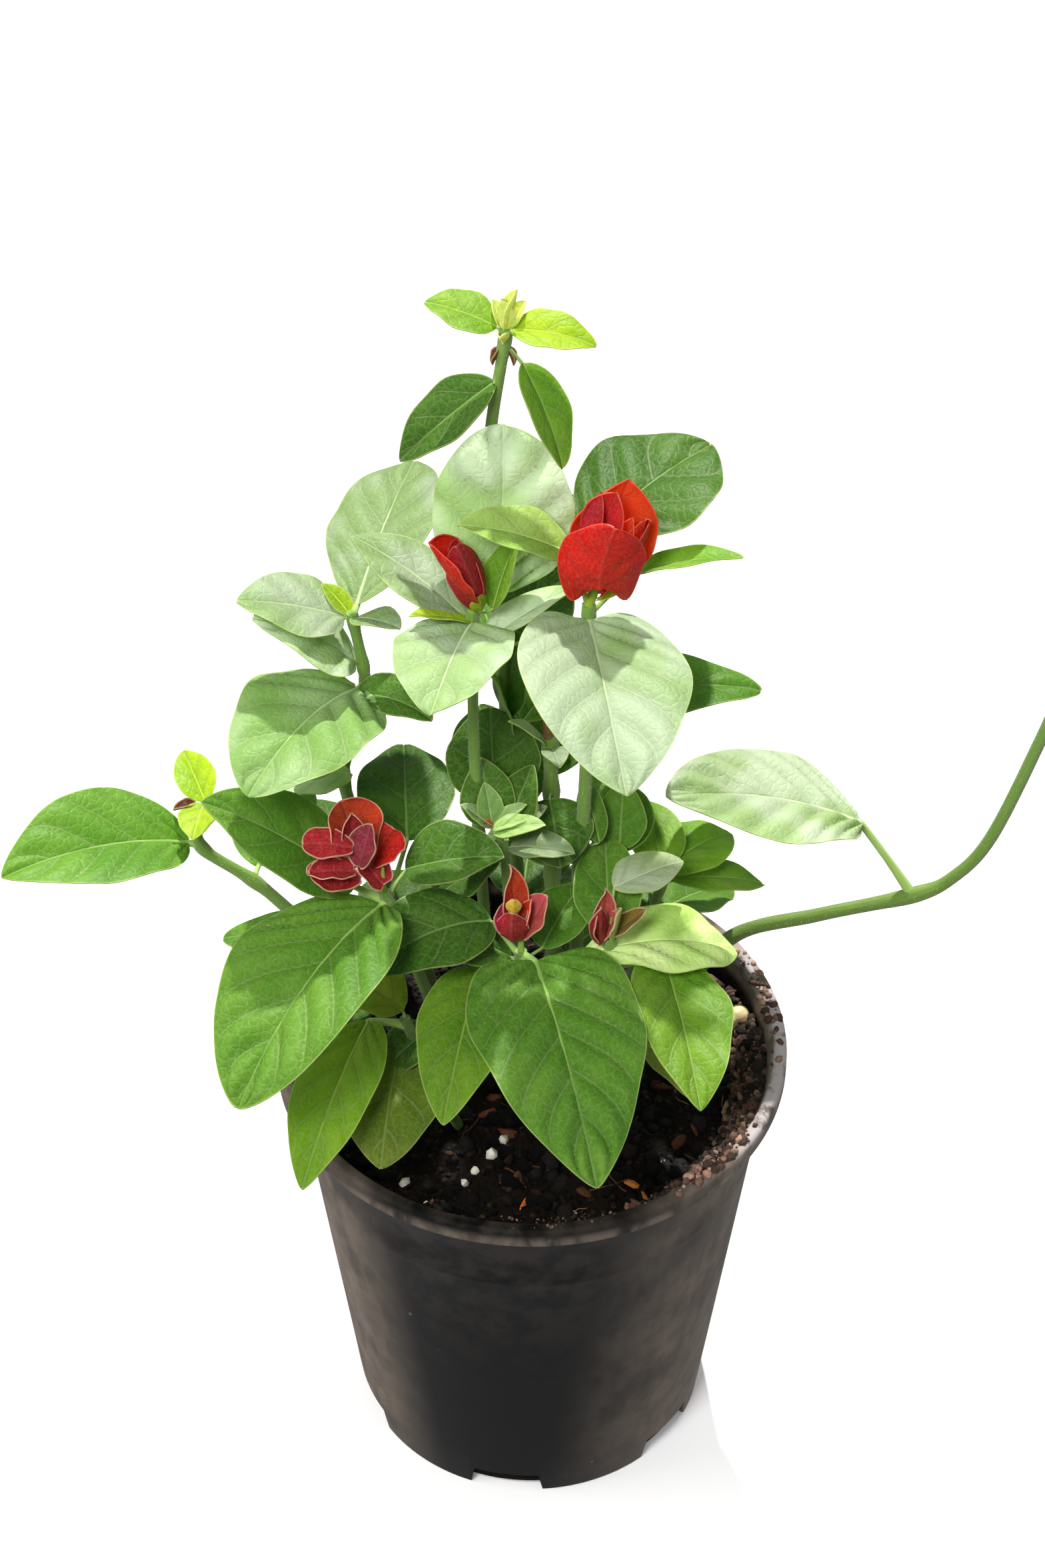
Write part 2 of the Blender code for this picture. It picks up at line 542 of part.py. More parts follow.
def make_head(head, tip, material):
    """A head of bracts: pairs set crosswise up a core, each cupped in towards the middle.

    It is made upright and then tilted. The core's foot is a cone, steep enough to stay over
    the stem's tip when the head leans.
    """
    turn = np.array([direction(head.lean_heading, 0), direction(head.lean_heading + 90, 0), [0, 0, 1.0]])
    tilt = np.radians(head.lean)
    lean = np.array([[np.cos(tilt), 0, -np.sin(tilt)], [0, 1, 0], [np.sin(tilt), 0, np.cos(tilt)]])
    to_world = turn.T @ lean.T @ turn
    core = head.width * 0.16
    foot = core * 0.8
    profile = [(0, 0), (foot, foot * np.tan(tilt) + CLEARANCE), (core, head.length * 0.25),
               (core * 0.5, head.length * 0.6), (0, head.length * 0.72)]
    shapes = [lathe(profile, CORE_SIDES)]
    for row in range(head.rows):
        share = row / head.rows
        for side in (0, 180):
            bract = Leaf(
                height=0,
                heading=head.first_heading + 90 * row + side,
                rise=38 + 30 * share,
                droop=-58 + 30 * share,
                length=head.length * (0.72 - 0.3 * share),
                width=head.width * (0.86 - 0.6 * share),
                fold=26,
                lobe=head.width * 0.12,
            )
            start = direction(bract.heading, 0) * core * 0.4
            start[2] = 1.0 + share * head.length * 0.6
            shapes.append(blade(bract, start))
    seat = np.array(tip, float) + np.array([0, 0, CLEARANCE])
    placed = [(points @ to_world.T + seat, faces) for points, faces in shapes]
    return fuse(head.name, placed, material)


def stem_holes():
    """The soil's holes: each follows its stem's foot with a little air round it."""
    holes = []
    for stem in STEMS:
        path = smooth_path(stem.path, 12)
        foot = path[path[:, 2] < SOIL_MIDDLE_HEIGHT + 6]
        along = (foot[1] - foot[0]) / np.linalg.norm(foot[1] - foot[0])
        deeper = foot[0] - along * 2 * CLEARANCE
        holes.append((np.vstack([deeper, foot[-1]]), stem.foot_radius + 3 * CLEARANCE))
    return holes


def main():
    clear_scene()
    plastic = plain_material("black_plastic", (0.02, 0.02, 0.022), 0.45)
    earth = plain_material("dark_soil", (0.03, 0.02, 0.015), 0.95)
    cream = plain_material("cream_stone", (0.72, 0.62, 0.42), 0.6)
    green = plain_material("leaf_green", (0.12, 0.28, 0.06), 0.5)
    red = plain_material("bract_red", (0.6, 0.03, 0.03), 0.5)
    make_pot(plastic)
    make_soil(earth, stem_holes())
    make_pebble(cream)
    for stem in STEMS:
        make_stem(stem, green)
    tips = {stem.name: stem.path[-1] for stem in STEMS}
    for head in HEADS:
        make_head(head, tips[head.stem], red)


main()
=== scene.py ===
# %% [markdown]
# # A shrimp plant in its nursery pot
#
# A shrimp plant is a small shrub. It is sold as a clump of leafy stems in a thin black pot, and
# its red flower heads are made of bracts, which are coloured leaves. The packed model gives the
# frame: where each stem stands, how long each leaf is and which way it points. This lesson makes
# the finer pieces that are seen, one cell at a time, and hides the plain solids behind them.
#
# Every length below is in millimetres, until a mesh is filled. Angles are in degrees, apart from
# those called turn, which are in radians. A heading is an angle seen from above: 0 is +X, 90 is
# the back, 180 the left and -90 the front.

# %% Load the frame
import json
from collections import namedtuple

import bpy
import numpy as np
from mathutils import Euler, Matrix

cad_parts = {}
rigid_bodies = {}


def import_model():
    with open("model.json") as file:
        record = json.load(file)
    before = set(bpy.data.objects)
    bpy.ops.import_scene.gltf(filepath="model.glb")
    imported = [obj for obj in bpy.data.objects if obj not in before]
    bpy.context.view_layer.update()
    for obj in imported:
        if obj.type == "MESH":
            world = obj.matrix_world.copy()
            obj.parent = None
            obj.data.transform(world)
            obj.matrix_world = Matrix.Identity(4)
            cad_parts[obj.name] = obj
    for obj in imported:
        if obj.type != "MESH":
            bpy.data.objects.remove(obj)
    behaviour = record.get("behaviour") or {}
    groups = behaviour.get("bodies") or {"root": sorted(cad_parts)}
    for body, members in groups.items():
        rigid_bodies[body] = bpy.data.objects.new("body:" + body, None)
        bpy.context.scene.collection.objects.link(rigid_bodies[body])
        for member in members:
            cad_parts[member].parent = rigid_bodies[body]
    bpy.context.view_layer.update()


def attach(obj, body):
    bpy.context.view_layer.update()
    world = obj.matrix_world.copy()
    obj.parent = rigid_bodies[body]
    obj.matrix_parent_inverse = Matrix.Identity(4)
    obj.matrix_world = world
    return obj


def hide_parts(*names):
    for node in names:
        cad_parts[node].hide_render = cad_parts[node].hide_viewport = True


for thing in list(bpy.data.objects):
    bpy.data.objects.remove(thing, do_unlink=True)
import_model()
MM = 0.001                  # one millimetre in Blender's metres

# %% Measures of the pot that other pieces need too
RIM_HEIGHT = 145.0
BAND_FOOT = 138.5           # height where the rim's band starts
WALL_TOP_RADIUS = 70.0      # outside of the wall at the band's foot
BASE_RADIUS = 53.5          # outside of the wall at the floor
WALL_SLOPE = (WALL_TOP_RADIUS - BASE_RADIUS) / BAND_FOOT


def wall_radius(height):
    """Outside radius of the pot's wall: a straight line from its foot to its band."""
    return BASE_RADIUS + WALL_SLOPE * height


# %% [markdown]
# ## Camera
#
# The eye looks down on the plant from the front and above. A long lens far away would flatten
# the pot, and a wide one near it would swell the leaves. This one stands 1.1 m from the middle
# of the rim, which keeps the rim's ellipse and the taper of the wall.

# %% Camera
CAMERA_DISTANCE = 1100.0    # from the middle of the pot's rim
CAMERA_ELEVATION = 46.0     # over the rim's level
CAMERA_PITCH = 42.1         # how far it looks down
CAMERA_TURN = 0.2           # how far it is turned to the left
LENS = 85.8                 # for a frame 36 mm high


def new_object(name, data):
    """An object in the scene that shows the data."""
    made = bpy.data.objects.new(name, data)
    bpy.context.scene.collection.objects.link(made)
    return made


def make_camera():
    """The camera stands on a line that leaves the rim's middle at the elevation, to the front."""
    rise = np.radians(CAMERA_ELEVATION)
    camera = new_object("camera", bpy.data.cameras.new("camera"))
    camera.data.lens = LENS
    camera.data.sensor_width = 36.0
    place = np.array([0, -np.cos(rise), np.sin(rise)]) * CAMERA_DISTANCE + [0, 0, RIM_HEIGHT]
    camera.location = place * MM
    camera.rotation_euler = Euler((np.radians(90 - CAMERA_PITCH), 0, np.radians(CAMERA_TURN)))
    bpy.context.scene.camera = camera
    return camera


print("camera at", [round(v, 3) for v in make_camera().location])

# %% [markdown]
# ## Building blocks
#
# Everything here is a surface over a grid: a leaf is a grid of points from base to tip and from
# edge to edge, a stem is a grid along and around. One function turns points and faces into a
# mesh, so the rest of the lesson can think in arrays. Values that a finish needs, such as how far
# a point is from the nearest vein, travel with the points as named attributes.

# %% Arrays into meshes
def colour(red, green, blue):
    """A colour given as 0 to 255 on a screen, as the linear light that shaders work in."""
    screen = np.array([red, green, blue]) / 255
    return np.where(screen <= 0.04045, screen / 12.92, ((screen + 0.055) / 1.055) ** 2.4)


def link_mesh(name, points, faces, material, smooth=180.0, **values):
    """A mesh object from points in mm and faces, each value in values kept as an attribute.

    Edges sharper than smooth degrees stay sharp.
    """
    mesh = bpy.data.meshes.new(name)
    mesh.from_pydata((np.asarray(points) * MM).tolist(), [], [list(face) for face in faces])
    for key, value in values.items():
        kind, field = ("FLOAT", "value") if value.ndim == 1 else ("FLOAT_VECTOR", "vector")
        mesh.attributes.new(key, kind, "POINT").data.foreach_set(field, value.ravel())
    mesh.materials.append(material)
    mesh.shade_smooth()
    if smooth < 180:
        mesh.set_sharp_from_angle(angle=np.radians(smooth))
    return new_object(name, mesh)


def settle(piece, slot, *nodes):
    """Name the piece's finish, let it ride on the part, and let it stand for the CAD nodes."""
    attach(piece, "root")
    if nodes:
        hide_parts(*nodes)
    print(f"{piece.name}: {len(piece.data.polygons)} faces")


class Shape:
    """Points, faces and point values of several surfaces that become one mesh."""

    def __init__(self):
        self.points = []
        self.faces = []
        self.values = {}
        self.count = 0

    def add(self, points, faces, **values):
        """Add a surface. Faces count from the surface's own first point."""
        self.points.append(points)
        self.faces += [[k + self.count for k in face] for face in faces]
        for key, value in values.items():
            self.values.setdefault(key, []).append(value)
        self.count += len(points)

    def make(self, name, material, smooth=180.0):
        """The mesh object of everything that was added."""
        values = {key: np.concatenate(value) for key, value in self.values.items()}
        return link_mesh(name, np.concatenate(self.points), self.faces, material, smooth, **values)


# %% Directions and curves
def direction(heading, rise):
    """Unit vector, or one row each, along a heading and up by a rise."""
    heading, rise = np.broadcast_arrays(np.radians(heading), np.radians(rise))
    return np.stack([np.cos(rise) * np.cos(heading), np.cos(rise) * np.sin(heading), np.sin(rise)], -1)


def polar(radius, turn, height):
    """Points at a radius and a turn, in radians, round the pot's axis and at a height."""
    return np.stack(np.broadcast_arrays(radius * np.cos(turn), radius * np.sin(turn), height), -1)


def full_turn(count):
    """Evenly spread angles round a circle, in radians."""
    return np.linspace(0, 2 * np.pi, count, endpoint=False)


def running(steps):
    """Running sums of steps, from nothing."""
    return np.concatenate([np.zeros_like(steps[:1]), np.cumsum(steps, axis=0)])


def run_along(path):
    """How far along a path each of its points is."""
    return running(np.linalg.norm(np.diff(path, axis=0), axis=1))


def at_run(where, run, values):
    """Rows of values, known along a run, read at other places of it."""
    return np.stack([np.interp(where, run, values[:, k]) for k in range(3)], -1)


def smooth_path(points, steps):
    """Catmull-Rom curve: a cubic between each two points whose slopes join their neighbours."""
    points = np.array(points, float)
    ends = np.vstack([2 * points[0] - points[1], points, 2 * points[-1] - points[-2]])
    t = np.linspace(0, 1, steps, endpoint=False)[:, None]
    pieces = []
    for a, b, c, d in zip(ends[:-3], ends[1:-2], ends[2:-1], ends[3:]):
        curve = 2 * b + (c - a) * t
        curve = curve + (2 * a - 5 * b + 4 * c - d) * t ** 2
        curve = curve + (3 * b - a - 3 * c + d) * t ** 3
        pieces.append(curve / 2)
    return np.vstack(pieces + [points[-1:]])


def unit(vectors):
    """Each vector divided by its own length."""
    return vectors / np.maximum(np.linalg.norm(vectors, axis=-1, keepdims=True), 1e-9)


def cross_axes(path):
    """Two unit vectors across a path at each of its points, square to it and to each other."""
    along = unit(np.gradient(path, axis=0))
    level = np.array([0.0, 0.0, 1.0]) if abs(along[0, 2]) < 0.8 else np.array([1.0, 0.0, 0.0])
    first = unit(np.cross(along, level))
    return first, np.cross(along, first)


def tube_grid(path, radii, sides, ridge=0.0):
    """Rings round a path: path + radius * (cos * first axis + sin * second axis).

    The radius swells by ridge where one of the tube's four ridges runs.
    """
    first, second = cross_axes(path)
    turn = full_turn(sides)[None, :, None]
    swell = 1 + ridge * np.cos(4 * turn)
    radii = np.broadcast_to(radii, len(path))[:, None, None]
    circles = np.cos(turn) * first[:, None] + np.sin(turn) * second[:, None]
    return path[:, None] + radii * swell * circles


def tube_faces(rings, sides):
    """Faces of a tube of rings, with a flat face at each end."""
    ring, side = np.meshgrid(np.arange(rings - 1), np.arange(sides), indexing="ij")
    next_side = (side + 1) % sides
    quads = np.stack([ring * sides + side, ring * sides + next_side,
                      (ring + 1) * sides + next_side, (ring + 1) * sides + side], -1)
    first = list(range(sides))[::-1]
    last = list(range((rings - 1) * sides, rings * sides))
    return quads.reshape(-1, 4).tolist() + [first, last]


def sheet_faces(rows, columns):
    """Faces of a closed thin sheet: an upper grid, a lower grid after it, and the edge between."""
    count = rows * columns
    row, column = np.meshgrid(np.arange(rows - 1), np.arange(columns - 1), indexing="ij")
    corner = (row * columns + column).ravel()
    upper = np.stack([corner, corner + columns, corner + columns + 1, corner + 1], -1)
    right = np.arange(rows) * columns
    left = right + columns - 1
    start = np.arange(columns)
    end = start + (rows - 1) * columns
    border = np.concatenate([right, end[1:], left[-2::-1], start[-2:0:-1]])
    after = np.roll(border, -1)
    edge = np.stack([border, border + count, after + count, after], -1)
    return np.concatenate([upper, upper[:, ::-1] + count, edge]).tolist()


def repeated(faces, corners, count):
    """The faces of count copies of a solid, whose points follow each other copy by copy."""
    return (np.array(faces)[None] + corners * np.arange(count)[:, None, None]).reshape(-1, 3).tolist()


def add_tube(shape, path, radii, sides, tint, ridge=0.0):
    """Add a closed tube whose points carry a tint and their place along and round it, in mm."""
    path = np.asarray(path, float)
    grid = tube_grid(path, radii, sides, ridge)
    around = np.linspace(0, 8, sides, endpoint=False)
    place = np.stack(np.broadcast_arrays(run_along(path)[:, None], around[None, :], 0.0), -1)
    tint = np.broadcast_to(np.asarray(tint).reshape(-1, 1, 3), grid.shape)
    shape.add(grid.reshape(-1, 3), tube_faces(len(path), sides), tint=tint.reshape(-1, 3),
              place=place.reshape(-1, 3))


def read_table(text, count, new_group, new_member):
    """Groups of rows. A line that starts with a letter is a group, and its members follow it.

    A member's line has count numbers, then its tone, then any measure that isn't as usual.
    """
    groups = []
    for words in map(str.split, text.strip().splitlines()):
        if words[0][0].isalpha():
            groups.append(new_group(*words))
            continue
        numbers = [float(word) for word in words[:count]]
        unusual = {key: float(value) for key, value in (word.split("=") for word in words[count + 1:])}
        groups[-1][-1].append(new_member(numbers, words[count], unusual))
    return groups


print("building blocks are ready")

# %% [markdown]
# ## Leaves: what they are and how they are made
#
# A shrimp plant's leaf is soft, oval and drawn out to a blunt tip. Its side veins are sunk, so
# the blade between them stands up like a quilt, and fine hairs give it a grey bloom in the sun.
# A leaf could be a flat plane with a picture on it, but a flat plane has no quilting to catch
# the light. Here the blade is a formula of two numbers: s runs from the base to the tip, and
# c from the right edge to the left. Each leaf of the plant is one line of a table. Most lines
# are those that the plain solids were made from, with a colour added. Some small leaves in the
# middle of the plant and scales at its tips are only here.

# %% The table of leaves
Leaf = namedtuple(
    "Leaf",
    "height heading rise droop length width roll fold stalk tone lobe widest taper cup sway wave",
    defaults=(0, 0.42, 0.72, -14, 0, 1.0),
)
Leaf.__doc__ = """One leaf of a stem.

height: where its stalk leaves the stem, as a height over the floor.
heading, rise: the way the blade starts out. droop: how far it bends down to its tip.
length, width: of the blade. roll: how far its left half is lifted. fold: how steep its halves are.
stalk: its length, heading and rise. tone: its colour.
lobe: how far the base's corners reach back. widest: where along the midrib it is widest.
taper: near 1 for pointed ends, 0.5 for round ones. cup: how far the edges turn up, or down if
negative. sway: how far the tip swings to the left. wave: how strong its waves and quilt are.
"""
Stem = namedtuple("Stem", "name foot_radius tip_radius path leaves")

# A stem: its name, the radius of its foot and of its tip, and the points of its path. A leaf:
# height, heading, rise, droop, length, width, roll, fold, the stalk's length, heading and rise, tone.
LEAF_TABLE = """
tall_tip_stem 2.2 1.5 -2,22,112 -4,25,180 -8,30,260 -12,34,326 -7,34,374
373   20  72 -10   12   8   0 40    1   30  80  cream cup=40
373  200  76 -20   10   8   0 40    1  200  80  cream cup=40
371  170  27  22   20  16  -6 14    4  160  55  young
371   -8  10  34   23  14  12 18    3   10  60  lime
369  192 -34  12   34  18 -22 24 11.6  196 -77  deep
369  -56 -32  36   30  15 -14 22  7.1  -12 -45  grass
372  120  60  20    8   6   0 30    2  130  50  cream cup=40
372   60  50  30    8   6   0 30    3   30  40  cream cup=40
370 -100  60  30    8   5   0 30    2 -100  30  cream cup=40
369  190 -60  10    6   4   0 30    1  190 -30  maroon cup=30
369  -10 -66  10    6   4   0 30    1  -10 -30  maroon cup=30
292   90  84  18   49  38   0  6   15  -80  25  frost widest=0.5 taper=0.52 wave=1.7
292   65  12  35   42  28   0 14    6   65  20  mid
262  104  10  40   46  30  10 12    8  104  10  mid
236   60  10  35   48  32 -10 12    8   60  10  mid
206  106  36  30   38  30   0 12    3  106  10  deep
170   84  14  34   44  27   0 12    6   84  20  deep
268   80  74  20   26  22   0 12   15  -34  44  deep taper=0.6
246   30  89  20   33  19   0  8    2  -95  24  deep widest=0.5 taper=0.6
240 -169  88  20   26  13   0 12    4  -81   7  sage taper=0.6
big_bloom_stem 2.2 1.6 12,8,112 13,8,180 15,7,250 15,6,305
300  -83  10  34   63  46  -8 14    2  -83  20  sunlit lobe=6 sway=4 wave=0.7
266   10  24  48   46  22   6 14    4   14  10  mid wave=1.6
302   42  24  26   48  41   0 10   19   96  42  deep widest=0.52 taper=0.68
303  186  37  30   33  17 -12 24   16  128  62  limelit
301   -4  26  24   30  12 -10 20   17   36  26  fresh
252   66   5  35   46  30   0 12    6   66  10  mid
205  106  34  20   25  14   0 16   11   38  12  mid
206   84  30  26   22  15   0 14   14   12  20  mid
208  177  30  24   23  12   0 12    3  177  20  mid
214  122  70  20   21   8   0 14    7  -20  40  mid
204   85  67  20   20  15   0 14   14   10  36  mid
small_bloom_stem 1.8 1.4 -8,2,112 -13,5,180 -16,7,250 -16,8,301
297  150  34  26   39  21   0 14    2  150  20  sunlit
298   50  70  20   22  12 -10 30    6   20  20  fresh
297 -105  18  36   39  33   6 14    2 -105  30  mist taper=0.62
290   30  30  28   30  13 -10 22    3  -30  10  frost
297 -157  34  20   19   9  10 20    1 -157  30  lime
221   96  74  20   29  27   0 12    9   50  40  deep widest=0.5 taper=0.6
back_left_stem 2 1.4 -16,12,112 -38,15,180 -53,18,230 -46,17,262 -49,18,292
290   74  26  30   55  31 -10 12    4   74  30  sunlit widest=0.5 taper=0.62
289 -168  30  20   31  25  -6 10    3 -170  40  sunlit
274 -162  56  34   36  30 -10 12    3 -162  40  frost widest=0.45
290  -40  30  26   17  13  -8 14    2  -50  40  sunlit
290  140  40  20   12   7   0 20    1  140  40  lime
267 -124  26  58   52  40  -4 10    4 -124  20  sage taper=0.62
264  -24  32  66   25  14  16 26    7 -118  30  deep
262 -130  10  34   34  18  26 30    4 -110  30  mid
240  120   6  40   46  30   0 12    6  120  10  mid
196  136  10  40   44  26   0 12    5  136  10  deep
160  108  12  34   42  26   0 12    5  108  20  deep
232 -165   9  20   24  15   0 12    8  -63  45  frost
250 -160 -18  20   22  17   0 12    6  -76  26  mid
low_left_stem 2.2 1.4 -26,2,112 -48,-2,168 -74,-5,209 -92,-7,229 -89,-6,243
228 -152  31  40 56.6  34 -13 24    5 -160  40  mid widest=0.44
242  114  28  25   18  12 -10 24    2  120  40  lime
242  -98  10  20   15  12  10 16    2  160  60  lime
243  186  -4  10    7   5   0 30    3  186  10  maroon cup=40
214   78  16  30   42  24   0 12    5   78  10  mid
184  160   4  34   32  20   0 12    4  160  10  mid
156 -178  10  34   40  24   0 12    4 -178  20  deep
left_bloom_stem 1.9 1.5 -16,-8,112 -28,-13,170 -41,-18,222
218 -123  14  62   75  47   8 19    3 -125  10  mid widest=0.46 taper=0.66
219   -6  28  24   29  23  13 27   10   58  20  deep
216 -174  54  26   54  28 -20 12   12  150  10  mid
217   93  15  26   39  28   0 10   20   75  22  deep taper=0.62
205   17  39  20   23  17   0 12   14   50   9  deep
front_bloom_stem 1.8 1.4 -3,-12,112 -4,-19,165 -3,-25,206
204  -76   4  40 72.5  48   0 10    6  -45  15  mid lobe=4 widest=0.32
201  178  36  30   34  19  -7 13    3  165  20  deep
203 -152  28  64   40  28  -8 12   13  140  34  deep
188 -101  10  40   54  26   0 14   15 -170  45  grass
200   62  24  26   25  18   0 14    8   40  10  mid
right_bloom_stem 1.8 1.4 12,-10,112 19,-17,165 22,-22,208
201   13  18  56   49  28   0 10    9  196   8  glow widest=0.55 wave=1.6
204   92  30  24   33  20   0 16    3   92  30  mid
195  -80  12  40   54  29 -14 18   16    5  10  grass
160  -62  16  30   30  15 -14 18   14    5  10  yellowing
202   26  14  20   22  16   0 10   18   84  46  silver
cut_stem 2.2 2 6,14,112 6,17,180 5,20,252
242 -162  58  20   16   7   0 20    2 -162  40  dew
242  -80  30  20   14   8   0 20    2  -80  30  sunlit
226   88  10  30   42  26   0 12    5   88  20  mid
196   76   0  24   26  16   0 12    5   76  20  mid
158   44  16  34   42  25   0 12    6   44  20  deep
226  -79 -21  30   20  22   0 12    6  -95  20  deep taper=0.6
centre_short_shoot 1.7 1.2 0,4,112 -5,2,170 -8,-1,226
224   56  60  16   22  14   0 16    2   56  60  deep
225   30  36  24   14   8   0 24    2   30  50  sunlit
222  -20  24  26   20  12   0 18    2  -20  40  sunlit
222  206  40  20   13   9   0 18    2  206  40  sunlit
225   18  48  30   12   6   0 20    6 -175  60  sage
225   -6  40  30   12   6   0 20    7 -152  60  dew
224  -12  34  24   16   8  10 16    8 -136  60  dew
225  109  67  20   13   8   0 14    6  174  60  sage
225  165  48  20   11   6   0 16    7 -168  60  sunlit
221  106  73  20   20  16   0 12    9  153  60  deep
226  190  60  20    4 2.4   0 30    6 -172  60  rust
back_right_stem 1.9 1.3 22,14,112 30,14,160 38,12,200
198   42  16  40   28  22   0 12    3   92  20  fresh
196   20  -6  30   32  16   0 14    3   20  20  fresh
199  100  26  30   26  17   0 14    2  100  20  fresh
180   50  -8  30   38  22   0 14    4   50  10  mid
176  120   0  30   42  26   0 14    4  120  10  mid
front_low_stem 1.7 1.3 -16,-18,112 -28,-22,150 -36,-24,178
175 -109   6  44   57  25   8 14   11  172   2  young
166  -98   0  44   39  30   0 10    5 -175  15  olive
177  150  28  24   23  19   0 12    3  110  50  yellowing
170 -147 -18  20   20  16   0 12    6   15  25  deep
runner_stem 2.4 1.7 30,4,112 44,20,142 60,32,156 85,31,166 112,30,175 123,30,182 133,30,198 144,30,236 150,30,262
175 -168  38  36   64  41   0 10   29  160  54  pearl widest=0.48 taper=0.62 wave=1.4
261   20  60  30 21.5  11   0 18    1   20  60  fresh
261  100  60  30   22  11   0 18    1  100  60  fresh
"""


def new_stem(name, foot_radius, tip_radius, *path):
    """A stem without leaves from the words of its line."""
    points = np.array([point.split(",") for point in path]).astype(float)
    return Stem(name, float(foot_radius), float(tip_radius), points, [])


def new_leaf(numbers, tone, unusual):
    """A leaf from its line: the last three numbers are its stalk's."""
    return Leaf(*numbers[:8], stalk=numbers[8:], tone=tone, **unusual)


STEMS = read_table(LEAF_TABLE, 11, new_stem, new_leaf)
print("stems:", len(STEMS), "leaves:", sum(len(stem.leaves) for stem in STEMS))

# %% [markdown]
# ## Tones
#
# A leaf has two faces. The upper one is darker and a little waxy, the lower one is paler and dull,
# and a young leaf lets more light through than an old one. A tone is therefore three colours:
# the upper face, the lower face, and the light that comes through. The same three serve the
# bracts, whose outer face is a deep red while their thin inner face glows orange. Some tones
# are paler copies of the greens, which paint the sun's grey glare on the upper leaves.

# %% Tones
Tone = namedtuple("Tone", "upper lower through")
# Painted light: the tones in the first eight rows, all but olive, are paler copies of the greens. They paint the
# sun's grey glare on hairy upper leaves, also on some that lie in shade here.
TONE_TABLE = """
sunlit        156 172 142  154 172 126  168 206  60
pearl         192 208 176  184 200 158  190 220 100
dew           190 214 152  168 196 112  196 232  60
limelit       164 196  98  160 192  90  190 228  30
olive         104 124  32  116 138  44  150 176  20
glow          232 255 168  214 244 150  224 252  90
mist          190 208 178  186 204 168  176 206 124
frost         208 228 190  196 212 174  196 226 116
sage          150 182 118  150 180 112  170 212  60
mid            94 140  38  120 156  66  140 190  20
deep           70 112  26   96 134  50  110 160  10
grass         106 146  26  120 156  50  150 200   8
young         126 162  34  140 172  50  180 220  14
fresh         122 164  40  136 174  60  170 214  20
lime          160 188  10  170 196  30  206 232   4
cream         242 242 160  236 240 150  255 255 110
yellowing     140 164  52  150 170  70  200 214  30
silver        176 188 158  178 190 160  190 210 130
maroon        120  50  50  130  60  50  180  60  40
scarlet       226  44  30  206  26  22  255  60  30
orange        238  84  44  210  40  30  255 110  30
blood         206  30  26  166  26  22  230  40  24
pink          218  46  60  196  34  62  255  80  90
crimson       168  28  44  172  30  48  226  40  44
magenta       196  40  96  170  30  70  240  70 110
mauve         150  44  66  150  42  62  200  60  70
blush         196  84  88  176  74  76  230 120  90
rust          206  62  26  150  34  22  255 100  20
yellow_bract  240 214  60  226 200  70  255 230  50
green_bract   178 186 120  170 178 110  200 214  90
olive_bract   130 110  40  120 116  50  190 150  40
"""
TONES = {}
for name, *numbers in map(str.split, TONE_TABLE.strip().splitlines()):
    TONES[name] = Tone(*(colour(*row) for row in np.array(numbers).astype(float).reshape(3, 3)))
print("tones:", ", ".join(TONES))

# %% [markdown]
# ## The blade's formula
#
# The midrib is an arc: its direction turns down by the droop from base to tip. Across it, each
# half leaves the midrib at the fold angle and then bends by the cup, so its reach and its lift
# are the running sums of the cosine and the sine of that slope. The half-width comes from an
# outline that is round at the base and drawn out at the tip. On top of that sit three small
# reliefs: the quilt between the side veins, the wave of the edge, and the groove of the midrib.

# %% The blade as a grid
LEAF_THICKNESS, BRACT_THICKNESS = 0.34, 0.3
VEIN_GAP = 12.5             # between two side veins of a large leaf
VEIN_SLANT = 0.34           # how far forward a side vein has run at the edge, as a share of s
QUILT = 0.052               # height of the quilt, as a share of the width
EDGE_WAVE = 0.022           # height of the edge's wave, as a share of the width
EDGE_RIPPLE = 0.018         # how far the edge runs in and out, as a share of the half-width
GROOVE = 0.35               # depth of the midrib's groove
LOBE_PLACE = 0.08           # where along s a lobe reaches back furthest
SHADE_SPREAD = 0.10         # how far a leaf's shade is off its tone's
PALE_BASE = 0.25            # how much paler a blade is at its base


def outline(s, widest, taper):
    """Half-width as a share of the widest: an arch of a sine, moved to where the leaf is widest.

    The taper is a power: the smaller it is, the rounder are both ends.
    """
    return np.sin(np.pi * s ** (np.log(0.5) / np.log(widest))) ** taper


def section(c, fold, cup):
    """Reach and lift across a blade of half-width 1: sums of cos and sin of the slope.

    The slope grows to the fold within a tenth of the half-width, and by the cup at the edge.
    """
    run = np.linspace(0, 1, 81)
    slope = np.radians(fold * (1 - np.exp(-run / 0.07)) + cup * run ** 1.6)
    sums = [running((f(slope[1:]) + f(slope[:-1])) / 2 / 80) for f in (np.cos, np.sin)]
    reach, lift = (np.interp(np.abs(c), run, values) for values in sums)
    return np.sign(c) * reach, lift


def vein_phase(s, c, veins):
    """A number that is whole on each side vein: they leave the midrib and arch to the tip."""
    a = np.abs(c)
    back = s - VEIN_SLANT * a * (1.15 - 0.5 * s) - 0.05 * a ** 3
    return veins * np.sign(back) * np.abs(back) ** 0.88 + 0.5 + 0.22 * (c > 0)


